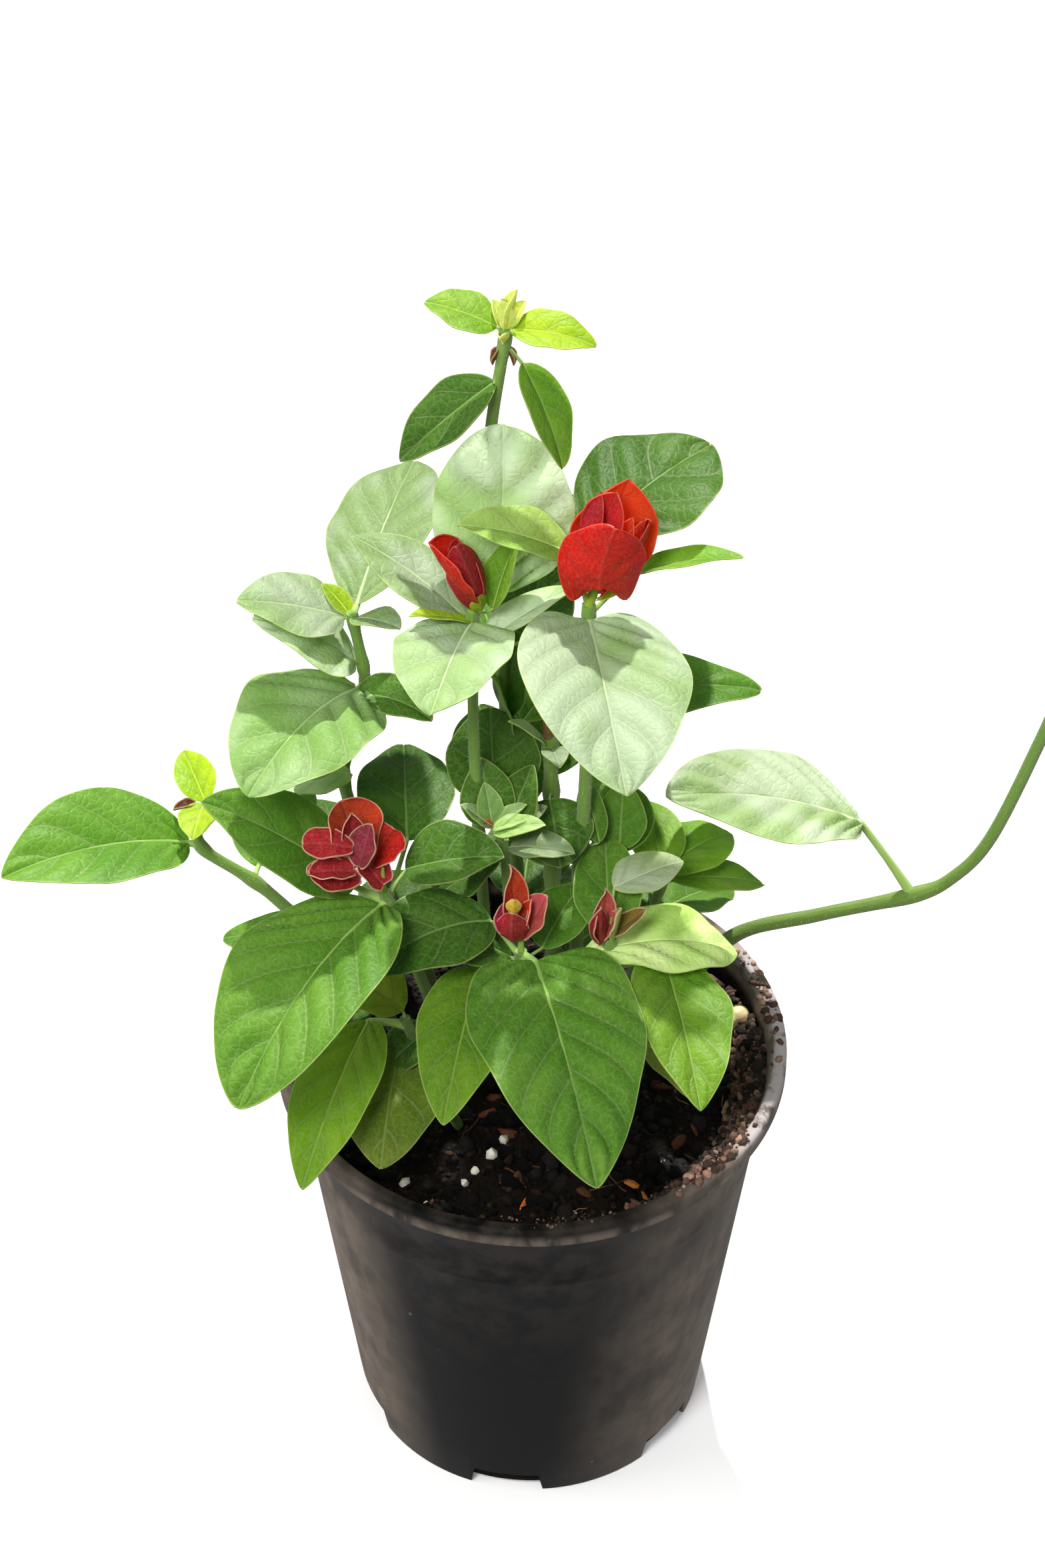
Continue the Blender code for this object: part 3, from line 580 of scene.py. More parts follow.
def blade_surface(leaf, base, rng, rows, columns, quilt):
    """Middle surface of a blade, its midrib and that one's normals, and measures of its points.

    The measures are s, the pattern (vein phase, distances from the midrib and from the edge)
    and how far along and across the blade each point is.
    """
    t = np.linspace(0, 1, rows)
    s = 0.0008 + 0.9984 * (t - 0.09 * np.sin(2 * np.pi * t))
    even = np.linspace(-1, 1, columns)
    c = np.sign(even) * np.abs(even) ** 1.3
    heading = leaf.heading + leaf.sway * s ** 2
    along = direction(heading, leaf.rise - leaf.droop * s)
    midrib = base + running((along[1:] + along[:-1]) / 2 * (leaf.length * np.diff(s))[:, None])
    left = direction(heading + 90, 0)
    up = np.cross(along, left)
    roll = np.radians(leaf.roll)
    across = left * np.cos(roll) + up * np.sin(roll)
    normal = up * np.cos(roll) - left * np.sin(roll)

    s2, c2 = np.meshgrid(s, c, indexing="ij")
    a = np.abs(c2)
    ripple = 1 + EDGE_RIPPLE * np.sin(2 * np.pi * (2.7 * s2 + rng.random())) * np.sign(c2)
    half = leaf.width / 2 * outline(s2, leaf.widest, leaf.taper) * ripple
    reach, lift = section(c, leaf.fold, leaf.cup)
    back = leaf.lobe * c2 ** 2 * s2 / LOBE_PLACE * np.exp(1 - s2 / LOBE_PLACE)

    phase = vein_phase(s2, c2, max(3.0, leaf.length / VEIN_GAP))
    rib = a * half
    margin = np.minimum((1 - a) * half, (1 - s2) * leaf.length)
    dome = np.abs(np.sin(np.pi * phase)) ** 0.7 - 0.5
    inside = (1 - np.exp(-(rib / 1.6) ** 2)) * (1 - np.exp(-(margin / 2.2) ** 2))
    shift = np.where(c2 > 0, rng.random(), rng.random())
    wave = a ** 2 * np.sin(2 * np.pi * ((1.6 + 1.2 * rng.random()) * s2 + shift))
    relief = leaf.wave * leaf.width * (QUILT * quilt * dome * inside + EDGE_WAVE * wave)
    relief -= GROOVE * np.exp(-(rib / 0.6) ** 2)

    points = midrib[:, None] + across[:, None] * (reach * half)[..., None]
    points = points + normal[:, None] * (lift * half + relief)[..., None] - along[:, None] * back[..., None]
    return points, midrib, normal, s2, np.stack([phase, rib, margin], -1), (s2 * leaf.length, c2 * half)


def add_blade(shape, leaf, base, rng, rows, columns, thickness=LEAF_THICKNESS, quilt=1.0):
    """Add a closed thin blade to a shape, and return its midrib and the midrib's normals.

    Each point keeps its pattern, its place on the blade in mm, its own colour, the colour that
    shines through and whether it is on the under face. Both faces have the same points.
    """
    points, midrib, up, s, pattern, place = blade_surface(leaf, base, rng, rows, columns, quilt)
    half = thickness / 2 * unit(np.cross(np.gradient(points, axis=0), np.gradient(points, axis=1)))
    place = np.stack([*place, np.full_like(s, 40 * rng.random())], -1)
    tone = TONES[leaf.tone]
    shade = 1 + SHADE_SPREAD * (rng.random() - 0.5) * 2
    weight = (shade * (1 + PALE_BASE * np.exp(-s / 0.12)))[..., None]
    through = np.broadcast_to(tone.through * shade, points.shape)

    def faces_of(over, under):
        return np.concatenate([over.reshape(-1, 3), under.reshape(-1, 3)])

    shape.add(faces_of(points + half, points - half), sheet_faces(rows, columns),
              pattern=faces_of(pattern, pattern), place=faces_of(place, place),
              tint=faces_of(tone.upper * weight, tone.lower * weight),
              through=faces_of(through, through), under=np.repeat([0.0, 1.0], s.size))
    return midrib, up


print("a blade's outline:", outline(np.linspace(0, 1, 6), 0.42, 0.72).round(2))

# %% [markdown]
# ## Finishes
#
# A finish is a small network of shader nodes. A wire is a node's output that can be added,
# multiplied or turned into a soft step, and each of these puts a node behind it. So a network
# reads like a formula. Patterns read the attributes that the points carry, in mm, so they
# follow each leaf wherever it points.

# %% Helpers for shader nodes
class Wire:
    """A node's output. Each operation on it adds a node and returns that node's output."""

    def __init__(self, socket):
        self.socket = socket
        self.tree = socket.id_data

    def maths(self, operation, other=0.0):
        """One arithmetic step with a number or another wire."""
        return add_node(self.tree, "Math", {0: self, 1: other}, operation=operation)

    def __add__(self, other):
        return self.maths("ADD", other)

    def __sub__(self, other):
        return self.maths("SUBTRACT", other)

    def __mul__(self, other):
        return self.maths("MULTIPLY", other)

    def most(self, other):
        """The larger of two."""
        return self.maths("MAXIMUM", other)

    def step(self, low, high, start=0.0, end=1.0):
        """A smooth rise from start at low to end at high."""
        inputs = {"Value": self, "From Min": low, "From Max": high, "To Min": start, "To Max": end}
        return add_node(self.tree, "MapRange", inputs, interpolation_type="SMOOTHSTEP")


def fill(node, inputs):
    """Give a node's inputs, by name or number, a value or a wire."""
    for key, value in inputs.items():
        if isinstance(value, Wire):
            node.id_data.links.new(value.socket, node.inputs[key])
        else:
            node.inputs[key].default_value = value


def add_node(tree, kind, inputs, output=0, **settings):
    """Add a shader node and return one of its outputs."""
    made = tree.nodes.new("ShaderNode" + kind)
    for key, value in settings.items():
        setattr(made, key, value)
    fill(made, inputs)
    return Wire(made.outputs[output])


def mixed(share, first, second, kind="MIX"):
    """share of the second colour over the first. A colour is a wire or three numbers."""
    tree = next(side.tree for side in (first, second, share) if isinstance(side, Wire))
    sides = [side if isinstance(side, Wire) else (*side, 1.0) for side in (first, second)]
    inputs = {0: share, 6: sides[0], 7: sides[1]}
    return add_node(tree, "Mix", inputs, 2, data_type="RGBA", blend_type=kind)


def times(first, second):
    """Two colours multiplied."""
    return mixed(1.0, first, second, "MULTIPLY")


def value_of(tree, name, output="Vector"):
    """An attribute of the points: its three numbers as a vector, or its single number."""
    return add_node(tree, "Attribute", {}, output, attribute_name=name)


def parts(vector):
    """The three numbers of a vector."""
    node = add_node(vector.tree, "SeparateXYZ", {0: vector}).socket.node
    return [Wire(socket) for socket in node.outputs]


def noise(vector, scale, detail=3.0, rough=0.55):
    """Cloudy noise from 0 to 1, scale bumps to the unit."""
    inputs = {"Vector": vector, "Scale": scale, "Detail": detail, "Roughness": rough}
    return add_node(vector.tree, "TexNoise", inputs, "Fac")


def cells(vector, scale, feature="DISTANCE_TO_EDGE"):
    """Distance to the nearest edge, or middle, in a pattern of cells, scale cells to the unit."""
    inputs = {"Vector": vector, "Scale": scale}
    return add_node(vector.tree, "TexVoronoi", inputs, "Distance", feature=feature)


def stretched(vector, factors):
    """A vector with each of its numbers multiplied."""
    return add_node(vector.tree, "VectorMath", {0: vector, 1: factors}, operation="MULTIPLY")


def bump(height, millimetres):
    """A relief of some millimetres where height is 1."""
    return add_node(height.tree, "Bump", {"Height": height, "Distance": millimetres * MM, "Strength": 1.0})


def object_place(tree):
    """The point's place on its object, in millimetres."""
    return stretched(add_node(tree, "TexCoord", {}, "Object"), (1000, 1000, 1000))


def new_finish(name, roughness):
    """A material with a Principled shader, its node tree and that shader."""
    material = bpy.data.materials.new(name)
    material.use_nodes = True
    shader = material.node_tree.nodes["Principled BSDF"]
    fill(shader, {"Roughness": roughness})
    return material, material.node_tree, shader


# %% [markdown]
# ## The leaf's finish
#
# Three kinds of veins are drawn from three measures: the midrib from the distance to the middle,
# the side veins from the phase, and the fine net from a pattern of cells about 2 mm wide. They
# are a little paler than the blade and sunk into its upper face. The shader is a mix of a
# surface that reflects and one that lets light through, because a leaf with the sun behind it
# glows. The bracts are thinner and let more of it through.

# %% Leaf and bract finishes
NET_SCALE = 0.42            # cells of the fine net to the millimetre


def blade_finish(name, vein_colour, vein_share, edge_colour, edge_share, through_share, roughness, sheen):
    """Finish of a thin blade with veins, an edge line and light that comes through."""
    material, tree, shader = new_finish(name, roughness)
    phase, rib, margin = parts(value_of(tree, "pattern"))
    place, tint, through = (value_of(tree, key) for key in ("place", "tint", "through"))
    under = value_of(tree, "under", "Fac")
    from_vein = phase.maths("PINGPONG", 0.5)
    from_net = cells(place, NET_SCALE)
    clouds = noise(place, 0.045, 2, 0.45)
    grain = noise(place, 1.6)

    middle = rib.step(0.2, 0.7, 1, 0)
    side = from_vein.step(0.012, 0.06, 1, 0) * margin.step(0.3, 3.5)
    net = from_net.step(0.0, 0.13, 1, 0) * margin.step(0.2, 1.2, 0, 0.42)
    veins = middle.most((side * 0.85).most(net))

    # Clouds of deeper green and pale grey: partly random tone, and the pale patches are a painted sheen of the
    # hairs in the sun.
    base = times(tint, mixed(clouds.step(0.36, 0.62), (0.7, 0.84, 0.5), (1.1, 1.06, 1.16)))
    base = mixed(grain.step(0.4, 0.75) * 0.07, base, (0.9, 0.95, 0.6))
    # Painted shade: the blade is darker along each side vein, where the valleys of the quilt would lie in shade.
    base = times(base, mixed(from_vein.step(0.02, 0.3, 0.87, 1.0), (0, 0, 0), (1, 1, 1)))
    pale = mixed(0.3, stretched(base, (1.3, 1.22, 1.3)), vein_colour)
    base = mixed(veins * vein_share, base, pale)
    base = mixed(margin.step(0.12, 0.5, edge_share, 0), base, edge_colour)

    sunk = veins * under.step(0, 1, -1, 1)
    puff = from_net * under.step(0, 1, 0.9, -0.9)
    relief = bump(sunk * 0.6 + puff + grain * 0.3, 0.2)
    fill(shader, {"Base Color": base, "Normal": relief, "Specular IOR Level": 0.38,
                  "Sheen Weight": sheen, "Sheen Roughness": 0.45})

    glow = mixed(veins * 0.45, through, stretched(through, (0.55, 0.6, 0.5)))
    glow = times(glow, mixed(clouds, (0.8, 0.85, 0.8), (1.1, 1.08, 1.1)))
    thin = add_node(tree, "BsdfTranslucent", {"Color": glow, "Normal": relief})
    both = add_node(tree, "MixShader", {0: through_share, 1: Wire(shader.outputs[0]), 2: thin})
    fill(tree.nodes["Material Output"], {"Surface": both})
    return material


leaf_finish = blade_finish("leaf", (0.5, 0.66, 0.3), 0.6, (0.55, 0.62, 0.22), 0.5, 0.34, 0.5, 0.0)
bract_finish = blade_finish("bract", (0.9, 0.4, 0.3), 0.2, (0.9, 0.3, 0.16), 0.4, 0.45, 0.4, 0.02)
rolled_finish = blade_finish(
    "rolled_bract", (0.85, 0.45, 0.35), 0.2, (0.85, 0.62, 0.42), 0.75, 0.35, 0.42, 0.02)

# %% [markdown]
# ## Stem, soil and pot finishes
#
# A stem is green and finely streaked along its length. Soil is almost black, but its crumbs
# differ in brown from one to the next, so each crumb carries its own tint. The pot is black
# plastic. A brown haze on both flanks, as seen from the front, is partly dust and partly a painted
# reflection of bright surroundings at its edges. A streaky band of dust runs round the rim and
# grows stronger at the right, where it also paints the rim's gloss. The dust makes the plastic
# rougher as well as browner. At the right a pale streak on the rim is partly scuffs and partly a
# painted glint of the light behind.

# %% Other finishes
def stem_finish():
    """Green stem with fine streaks: noise that is stretched along the stem."""
    material, tree, shader = new_finish("stem", 0.5)
    place = value_of(tree, "place")
    streaks = noise(stretched(place, (0.12, 2.2, 1.0)), 1.0)
    fleck = noise(place, 1.8)
    base = times(value_of(tree, "tint"), mixed(streaks, (0.7, 0.74, 0.66), (1.3, 1.26, 1.34)))
    base = mixed(fleck.step(0.62, 0.8, 0, 0.4), base, (0.62, 0.7, 0.42))
    fill(shader, {"Base Color": base, "Normal": bump(streaks + fleck * 0.5, 0.18),
                  "Sheen Weight": 0.25, "Subsurface Weight": 0.25,
                  "Subsurface Radius": (0.5, 1.0, 0.2), "Subsurface Scale": 1.2 * MM})
    return material


def tinted_finish(name, roughness, relief, grain):
    """Finish of small solids that each carry their own tint: it is mottled and has a grain."""
    material, tree, shader = new_finish(name, roughness)
    place = object_place(tree)
    mottle = mixed(noise(place, grain), (0.45, 0.45, 0.45), (1.55, 1.5, 1.45))
    fill(shader, {"Base Color": times(value_of(tree, "tint"), mottle),
                  "Normal": bump(noise(place, grain * 1.7), relief)})
    return material


def soil_finish():
    """Moist black soil: brown clouds, dark hollows and a rough crumbly relief."""
    material, tree, shader = new_finish("soil", 0.9)
    place = object_place(tree)
    base = mixed(noise(place, 0.25, 6), (0.002, 0.0018, 0.0016), (0.016, 0.011, 0.008))
    relief = bump(noise(place, 1.2, 5) - cells(place, 0.55, "F1"), 1.1)
    fill(shader, {"Base Color": base, "Normal": relief, "Specular IOR Level": 0.2})
    return material


def pot_finish():
    """Black plastic with haze on its flanks, a dusty band, a scuffed rim and pale specks.

    A thin coat of low index adds almost nothing face on, and a gloss at the outline.
    """
    material, tree, shader = new_finish("pot_plastic", 0.36)
    place = object_place(tree)
    across, deep, height = parts(place)
    radius = (across * across + deep * deep).maths("SQRT")
    outside = (radius - (height * WALL_SLOPE + BASE_RADIUS)).step(-1.2, -0.5)
    clouds = noise(place, 0.035, 4, 0.5)
    runs = noise(stretched(place, (0.13, 0.13, 0.05)), 1.0, 5)
    blots = noise(place, 0.12, 4, 0.6)
    narrower = height * 0.1
    # Painted reflection: the brown haze on the left and right flanks, seen from the front, is partly dust and
    # partly stands for bright surroundings reflected at the pot's edges.
    flank = (across - narrower).step(2, 50).most((across + narrower).step(-24, -52))
    haze = flank * (clouds + runs * 0.6).step(0.4, 0.95) * blots.step(0.3, 0.65, 0.6, 0.85)
    veil = height.step(40, 139, 0.0, 0.07) * blots.step(0.35, 0.65)
    band = height.step(135, 139.5) * height.step(140, 144, 1, 0)
    # The band grows stronger towards the right, where it paints the rim's gloss as well as dust.
    band = band * runs.step(0.35, 0.6, 0.05, 0.5) * across.step(25, 62, 1, 1.7)
    dust = haze.most(veil).most(band) * outside
    speck = cells(place, 0.07, "F1").step(0.03, 0.05, 1, 0) * clouds.step(0.5, 0.55)
    # Painted highlight: a pale blotchy streak on the rim's top at the right is partly scuffs and partly the
    # glint of the light behind.
    scuff = across.step(54, 66) * height.step(141, 143.5) * blots.step(0.36, 0.5)
    base = mixed(dust, (0.0045, 0.0042, 0.0042), (0.31, 0.25, 0.2))
    base = mixed(speck * 0.4, base, (0.3, 0.27, 0.23))
    base = mixed(scuff * 0.85, base, (0.46, 0.42, 0.43))
    fill(shader, {"Base Color": base, "Roughness": dust.step(0, 0.6, 0.4, 0.7),
                  "Normal": bump(noise(place, 0.9, 2) * 0.25 + blots, 0.06), "Specular IOR Level": 0.14,
                  "Coat Weight": 0.3, "Coat IOR": 1.2, "Coat Roughness": 0.3})
    return material


stem_green = stem_finish()
soil_brown = soil_finish()
crumb_brown = tinted_finish("crumb", 0.88, 0.35, 0.9)
grain_white = tinted_finish("perlite", 0.7, 0.25, 0.8)
pebble_cream = tinted_finish("cream_stone", 0.5, 0.12, 0.5)
pot_black = pot_finish()
print("finishes:", ", ".join(material.name for material in bpy.data.materials))

# %% [markdown]
# ## Leaves on their stems
#
# Each stem gets two pieces: its leaves, and its shoot, which is the stem itself with the stalks
# of its leaves. A stalk runs on under the blade as the midrib's raised underside and thins out
# towards the tip. The stem swells a little where a leaf joins it, as a real one does at its
# nodes. It is darker low down than near its tip.

# %% Leaves and shoots
STEM_SIDES = 14
STALK_SIDES = 8
NODE_SWELL = 0.28           # how much a stem swells at a node
NODE_REACH = 2.6            # how far up and down the swelling reaches
FINE_STEPS = 14             # rings between two points of a stem's path
RIB_DEPTH = 0.42            # how far under the midrib a stalk runs on
RIB_END = 0.8               # how far along the blade it does so, as a share
OLD_STEM, OLD_HEIGHT = colour(84, 104, 44), 125.0
YOUNG_STEM, YOUNG_HEIGHT = colour(112, 148, 58), 215.0
STALK_GREEN = colour(156, 190, 96)


def grid_size(length, width):
    """Rows and columns of a blade's grid: about a row for 1.2 mm and a column for 1.4 mm."""
    return int(np.clip(length / 1.2, 10, 60)), int(np.clip(width / 1.4, 8, 32)) // 2 * 2 + 1


def add_stalk(shape, leaf, node, base, midrib, up):
    """Add a leaf's stalk: from the stem to the blade's base, then on under the midrib."""
    size = np.clip(leaf.length / 50, 0.35, 1.25)
    under = midrib - up * RIB_DEPTH * size
    chosen = under[np.linspace(2, int(len(under) * RIB_END), 9).astype(int)]
    start = node + unit(base - node) * 0.2
    path = smooth_path(np.vstack([start, (start + base) / 2 + [0, 0, 0.25], base - up[0] * 0.3, chosen]), 3)
    share = np.linspace(0, 1, len(path))
    radii = size * np.interp(share, [0, 0.08, 0.25, 1], [1.35, 0.95, 0.8, 0.16])
    tint = np.where(share[:, None] < 0.2, STALK_GREEN, TONES[leaf.tone].lower * 1.15)
    add_tube(shape, path, radii, STALK_SIDES, tint)


def make_shoot(stem, seed):
    """The two pieces of one stem: its leaves, and the stem itself with their stalks."""
    rng = np.random.default_rng(seed)
    path = smooth_path(stem.path, FINE_STEPS)
    leaves, shoot = Shape(), Shape()
    for leaf in stem.leaves:
        node = at_run(leaf.height, path[:, 2], path)
        length, heading, rise = leaf.stalk
        base = node + length * direction(heading, rise)
        midrib, up = add_blade(leaves, leaf, base, rng, *grid_size(leaf.length, leaf.width))
        add_stalk(shoot, leaf, node, base, midrib, up)
    heights = np.array([[leaf.height] for leaf in stem.leaves])
    swell = np.exp(-((path[:, 2] - heights) / NODE_REACH) ** 2).max(axis=0)
    radii = np.linspace(stem.foot_radius, stem.tip_radius, len(path)) * (1 + NODE_SWELL * swell)
    share = np.clip((path[:, 2:] - OLD_HEIGHT) / (YOUNG_HEIGHT - OLD_HEIGHT), 0, 1)
    add_tube(shoot, path, radii, STEM_SIDES, OLD_STEM + (YOUNG_STEM - OLD_STEM) * share, ridge=0.05)
    settle(leaves.make(stem.name + "_leaves", leaf_finish, smooth=60), "leaf_and_stem", stem.name)
    settle(shoot.make(stem.name + "_shoot", stem_green, smooth=60), "leaf_and_stem", stem.name)
    return path, radii


stem_lines = [make_shoot(stem, 100 + k) for k, stem in enumerate(STEMS)]

# %% [markdown]
# ## Hairs
#
# The young stems wear short white hairs, which show as a pale fringe against the light. A hair
# system would not leave the program as a mesh, so each hair is a thin four-sided spike: three
# points round its root and one at its tip. The roots are spread at random over the stems.

# %% Hairs on the stems
HAIRS_PER_MM = 7.0
HAIR_LENGTH = 0.75
HAIR_ROOT = 0.05            # radius of a hair's foot
HAIR_SPREAD = 0.25          # how far the hairs lean at random, as a share of their length
HAIR_DROOP = 0.15           # how far they lean down, as a share too
HAIR_LOWEST = 150.0         # hairs are worn off lower down
SPIKE_FACES = [[0, 2, 1], [0, 1, 3], [1, 2, 3], [2, 0, 3]]


def add_hairs(shape, path, radii, rng):
    """Spikes that stand out from a stem: root = path + radius * outward, tip = root + length."""
    run = run_along(path)
    first_run = np.interp(HAIR_LOWEST, path[:, 2], run)
    count = int((run[-1] - first_run) * HAIRS_PER_MM)
    where = rng.uniform(first_run, run[-1], count)
    turn = rng.uniform(0, 2 * np.pi, count)[:, None]
    first, second = (at_run(where, run, axes) for axes in cross_axes(path))
    outward = unit(np.cos(turn) * first + np.sin(turn) * second)
    root = at_run(where, run, path) + outward * (np.interp(where, run, radii) * 0.97)[:, None]
    lean = rng.normal(0, HAIR_SPREAD, (count, 3)) - [0, 0, HAIR_DROOP]
    length = HAIR_LENGTH * rng.uniform(0.5, 1.2, count)
    tip = root + unit(outward + lean) * length[:, None]
    sideways = unit(np.cross(outward, [0.3, 0.2, 0.9]))
    other = np.cross(outward, sideways)
    corners = [root + HAIR_ROOT * (np.cos(a) * sideways + np.sin(a) * other) for a in (0, 2.1, 4.2)]
    points = np.stack(corners + [tip], 1).reshape(-1, 3)
    tint = np.broadcast_to(colour(214, 224, 190), points.shape)
    shape.add(points, repeated(SPIKE_FACES, 4, count), tint=tint, place=points)


hairs = Shape()
hair_rng = np.random.default_rng(7)
for line, width in stem_lines:
    add_hairs(hairs, line, width, hair_rng)
settle(hairs.make("stem_hairs", stem_green), "leaf_and_stem")

# %% [markdown]
# ## Flower heads
#
# What looks like a red flower is a head of bracts, leaves that turned red and overlap like the
# plates of a shrimp's tail. Each is cupped towards the middle of the head. A bract is the same
# formula as a leaf, only steeper, thinner and more cupped, so the same function makes it. The
# heads differ: the largest has a heart-shaped bract in front, the low ones are half rolled. So
# every bract has its own line. A head is made upright and then leans as a whole.

# %% The table of bracts
Bract = namedtuple(
    "Bract",
    "start heading rise droop length width tone cup lobe widest taper fold roll sway wave",
    defaults=(50, 1, 0.45, 0.8, 6, 0, 0, 0.8),
)
Bract.__doc__ = """One bract: its start in the upright head, then the same measures as a leaf."""
Head = namedtuple("Head", "name stem lean_heading lean bracts")

# A head: its name, its stem, the heading it leans to and how far. A bract: x, y and z of its
# start, heading, rise, droop, length, width, tone.
BRACT_TABLE = """
big_bloom big_bloom_stem 0 18
  -1    2    4   96  72 -20 34 27  orange lobe=3 widest=0.55 taper=0.6
 2.5    0    5    4  62 -40 27 16  blood cup=66 lobe=2 taper=0.6
-8.5  1.5    9  186  76 -28 26 15  pink cup=80 lobe=2 widest=0.55 taper=0.55
  -5    0   16   60  84 -10 21 14  pink cup=56 widest=0.6 taper=0.6
   1   -2   12   60  84 -10 20 10  orange cup=60
   4    0    9  -30  76 -24 23 15  orange cup=60 lobe=2 taper=0.6
  -1   -8 11.6 -155  71 -20 22 26  scarlet lobe=9.5 widest=0.38 taper=0.56 roll=66
 1.5 -1.2    3  -10  30 -40  7  3  lime cup=30
-1.5 -1.2    3 -165  30 -40  7  3  lime cup=30
small_bloom small_bloom_stem 176 18
 1.6    0    2  205  70 -16 25 19  scarlet cup=84 widest=0.6 taper=0.45 roll=-24
 2.6 -1.4    1  -60  74 -24 23 13  crimson cup=66 lobe=2 widest=0.5 taper=0.55
 0.6 -1.6    2 -120  70 -20 13  6  scarlet
 1.8  0.6    3   70  74 -16 19 12  crimson cup=60 taper=0.55
 2.4 -1.2    0  -60  60 -20  7  6  lime
left_bloom left_bloom_stem 180 0
-5.5    3    9  130  64  10 18 19  rust cup=36 widest=0.6 taper=0.5 wave=2
  -3    2    8   52  56  40 12 17  blood cup=30 widest=0.6 taper=0.5 wave=2
  -8    2   15  104  70 -40 12  9  crimson cup=80 taper=0.5
-6.5   -3   12   52  60 -10 13 10  mauve cup=34 widest=0.5 taper=0.6 wave=2
  -8   -1   17  182  20  24 14 10  crimson cup=10 widest=0.6 taper=0.42 roll=-20 wave=2
  -8   -3   10 -170  18  24 13 10  crimson cup=44 taper=0.5 roll=-6 wave=2
  -6   -3    7 -174  10 -20 15 11  crimson cup=36 widest=0.6 taper=0.5 roll=-30 wave=2
   0   -2    4  150  50  20 11 12  crimson cup=40 taper=0.5 wave=2
front_bloom front_bloom_stem 80 0
-1.5    1    8  100  78  -6 21  9  rust sway=50 wave=2
 0.5    0    9   20  62 -30 10  7  scarlet
  -4   -1    8   95  62 -20  9  8  magenta taper=0.5 wave=2
  -2   -1   15  -90  66 -30  7  5  yellow_bract
-2.4   -2  5.5 -100  58 -70 11 11  crimson cup=56 lobe=1.5 taper=0.5 wave=2
 0.5   -1  6.5   30  54 -10 14 11  blush cup=20 lobe=1.5 widest=0.55 taper=0.6 wave=2
right_bloom right_bloom_stem 100 0
-2.5 -0.5    0   60  70 -10 16  8  blush cup=60 sway=60 wave=3
  -4   -1    0  170  62 -70 13  9  crimson cup=60 sway=-40 wave=2
 0.5 -1.5    1    0  76 -10 12  8  green_bract cup=60 wave=2
-3.2 -1.6   -1  -80  78 -20 15  7  crimson cup=60 sway=40 wave=2
   0 -0.6  1.5   14  40   4 13  7  olive_bract cup=20 wave=2
"""
SEAT_GAP = 0.3              # air between a stem's tip and its head in the packed solids
OPEN_HEADS = 2              # so many heads of the table are open, and the rest are half rolled
FINER = 1.6                 # how much finer a bract's grid is than a leaf's
BRACT_QUILT = 0.35          # how strong a bract's quilt is, as a share of a leaf's
CONE_SIDES = 12


def new_head(name, stem, lean_heading, lean):
    """A head without bracts from the words of its line."""
    return Head(name, stem, float(lean_heading), float(lean), [])


def new_bract(numbers, tone, unusual):
    """A bract from its line: the first three numbers are its start."""
    return Bract(np.array(numbers[:3]), *numbers[3:], tone=tone, **unusual)


def lean_matrix(heading, lean):
    """Turn that tilts what stands upright by an angle towards a heading."""
    frame_axes = np.array([direction(heading, 0), direction(heading + 90, 0), [0, 0, 1.0]])
    tilt = np.radians(lean)
    tilted = np.array([[np.cos(tilt), 0, np.sin(tilt)], [0, 1, 0], [-np.sin(tilt), 0, np.cos(tilt)]])
    return frame_axes.T @ tilted @ frame_axes


def make_head(head, tip, finish, seed):
    """A head's bracts and the green cone that they grow from, seated on the stem's tip."""
    rng = np.random.default_rng(seed)
    bracts, cone = Shape(), Shape()
    for bract in head.bracts:
        size = grid_size(bract.length * FINER, bract.width * FINER)
        add_blade(bracts, bract, bract.start, rng, *size, BRACT_THICKNESS, BRACT_QUILT)
    longest = max(bract.length for bract in head.bracts)
    height = np.linspace(0, 0.5 * longest, 12)
    radii = longest * np.interp(height / height[-1], [0, 0.25, 0.6, 1], [0.045, 0.04, 0.035, 0.02])
    add_tube(cone, np.outer(height - SEAT_GAP, [0, 0, 1]), radii, CONE_SIDES, TONES["young"].lower)
    leaned = lean_matrix(head.lean_heading, head.lean)
    for shape in (bracts, cone):
        shape.points = [points @ leaned.T + tip + [0, 0, SEAT_GAP] for points in shape.points]
    settle(bracts.make(head.name + "_bracts", finish, smooth=60), "bract", head.name)
    settle(cone.make(head.name + "_core", stem_green, smooth=60), "bract", head.name)


tips = {stem.name: stem.path[-1] for stem in STEMS}
for number, head in enumerate(read_table(BRACT_TABLE, 8, new_head, new_bract)):
    finish = bract_finish if number < OPEN_HEADS else rolled_finish
    make_head(head, tips[head.stem], finish, 300 + number)

# %% [markdown]
# ## The dry stub
#
# One stem was cut back above its leaves, and its end dried brown. A short tube with a hollow in
# its top stands on the stem: its profile runs up the outside, over the lip and down inside.

# %% Dry end of the cut stem
# Rows of height over the stem's tip and radius.
STUB_PROFILE = [(-7, 2.1), (-4, 2.2), (-1.5, 2.3), (0, 2.15), (-0.1, 1.5), (-1.6, 1.2), (-1.7, 0.1)]
STUB_LUMP, LUMP_PITCH = 0.12, 2.3           # height of its lumps, and how close they are

stub = Shape()
heights, radii = np.array(STUB_PROFILE).T
path = tips["cut_stem"] + np.outer(heights, [0, 0, 1])
add_tube(stub, path, radii, STEM_SIDES, colour(120, 92, 60), ridge=0.06)
stub.points = [points + STUB_LUMP * np.sin(points[:, [1, 2, 0]] * LUMP_PITCH) for points in stub.points]
settle(stub.make("cut_stem_stub", crumb_brown, smooth=40), "leaf_and_stem")

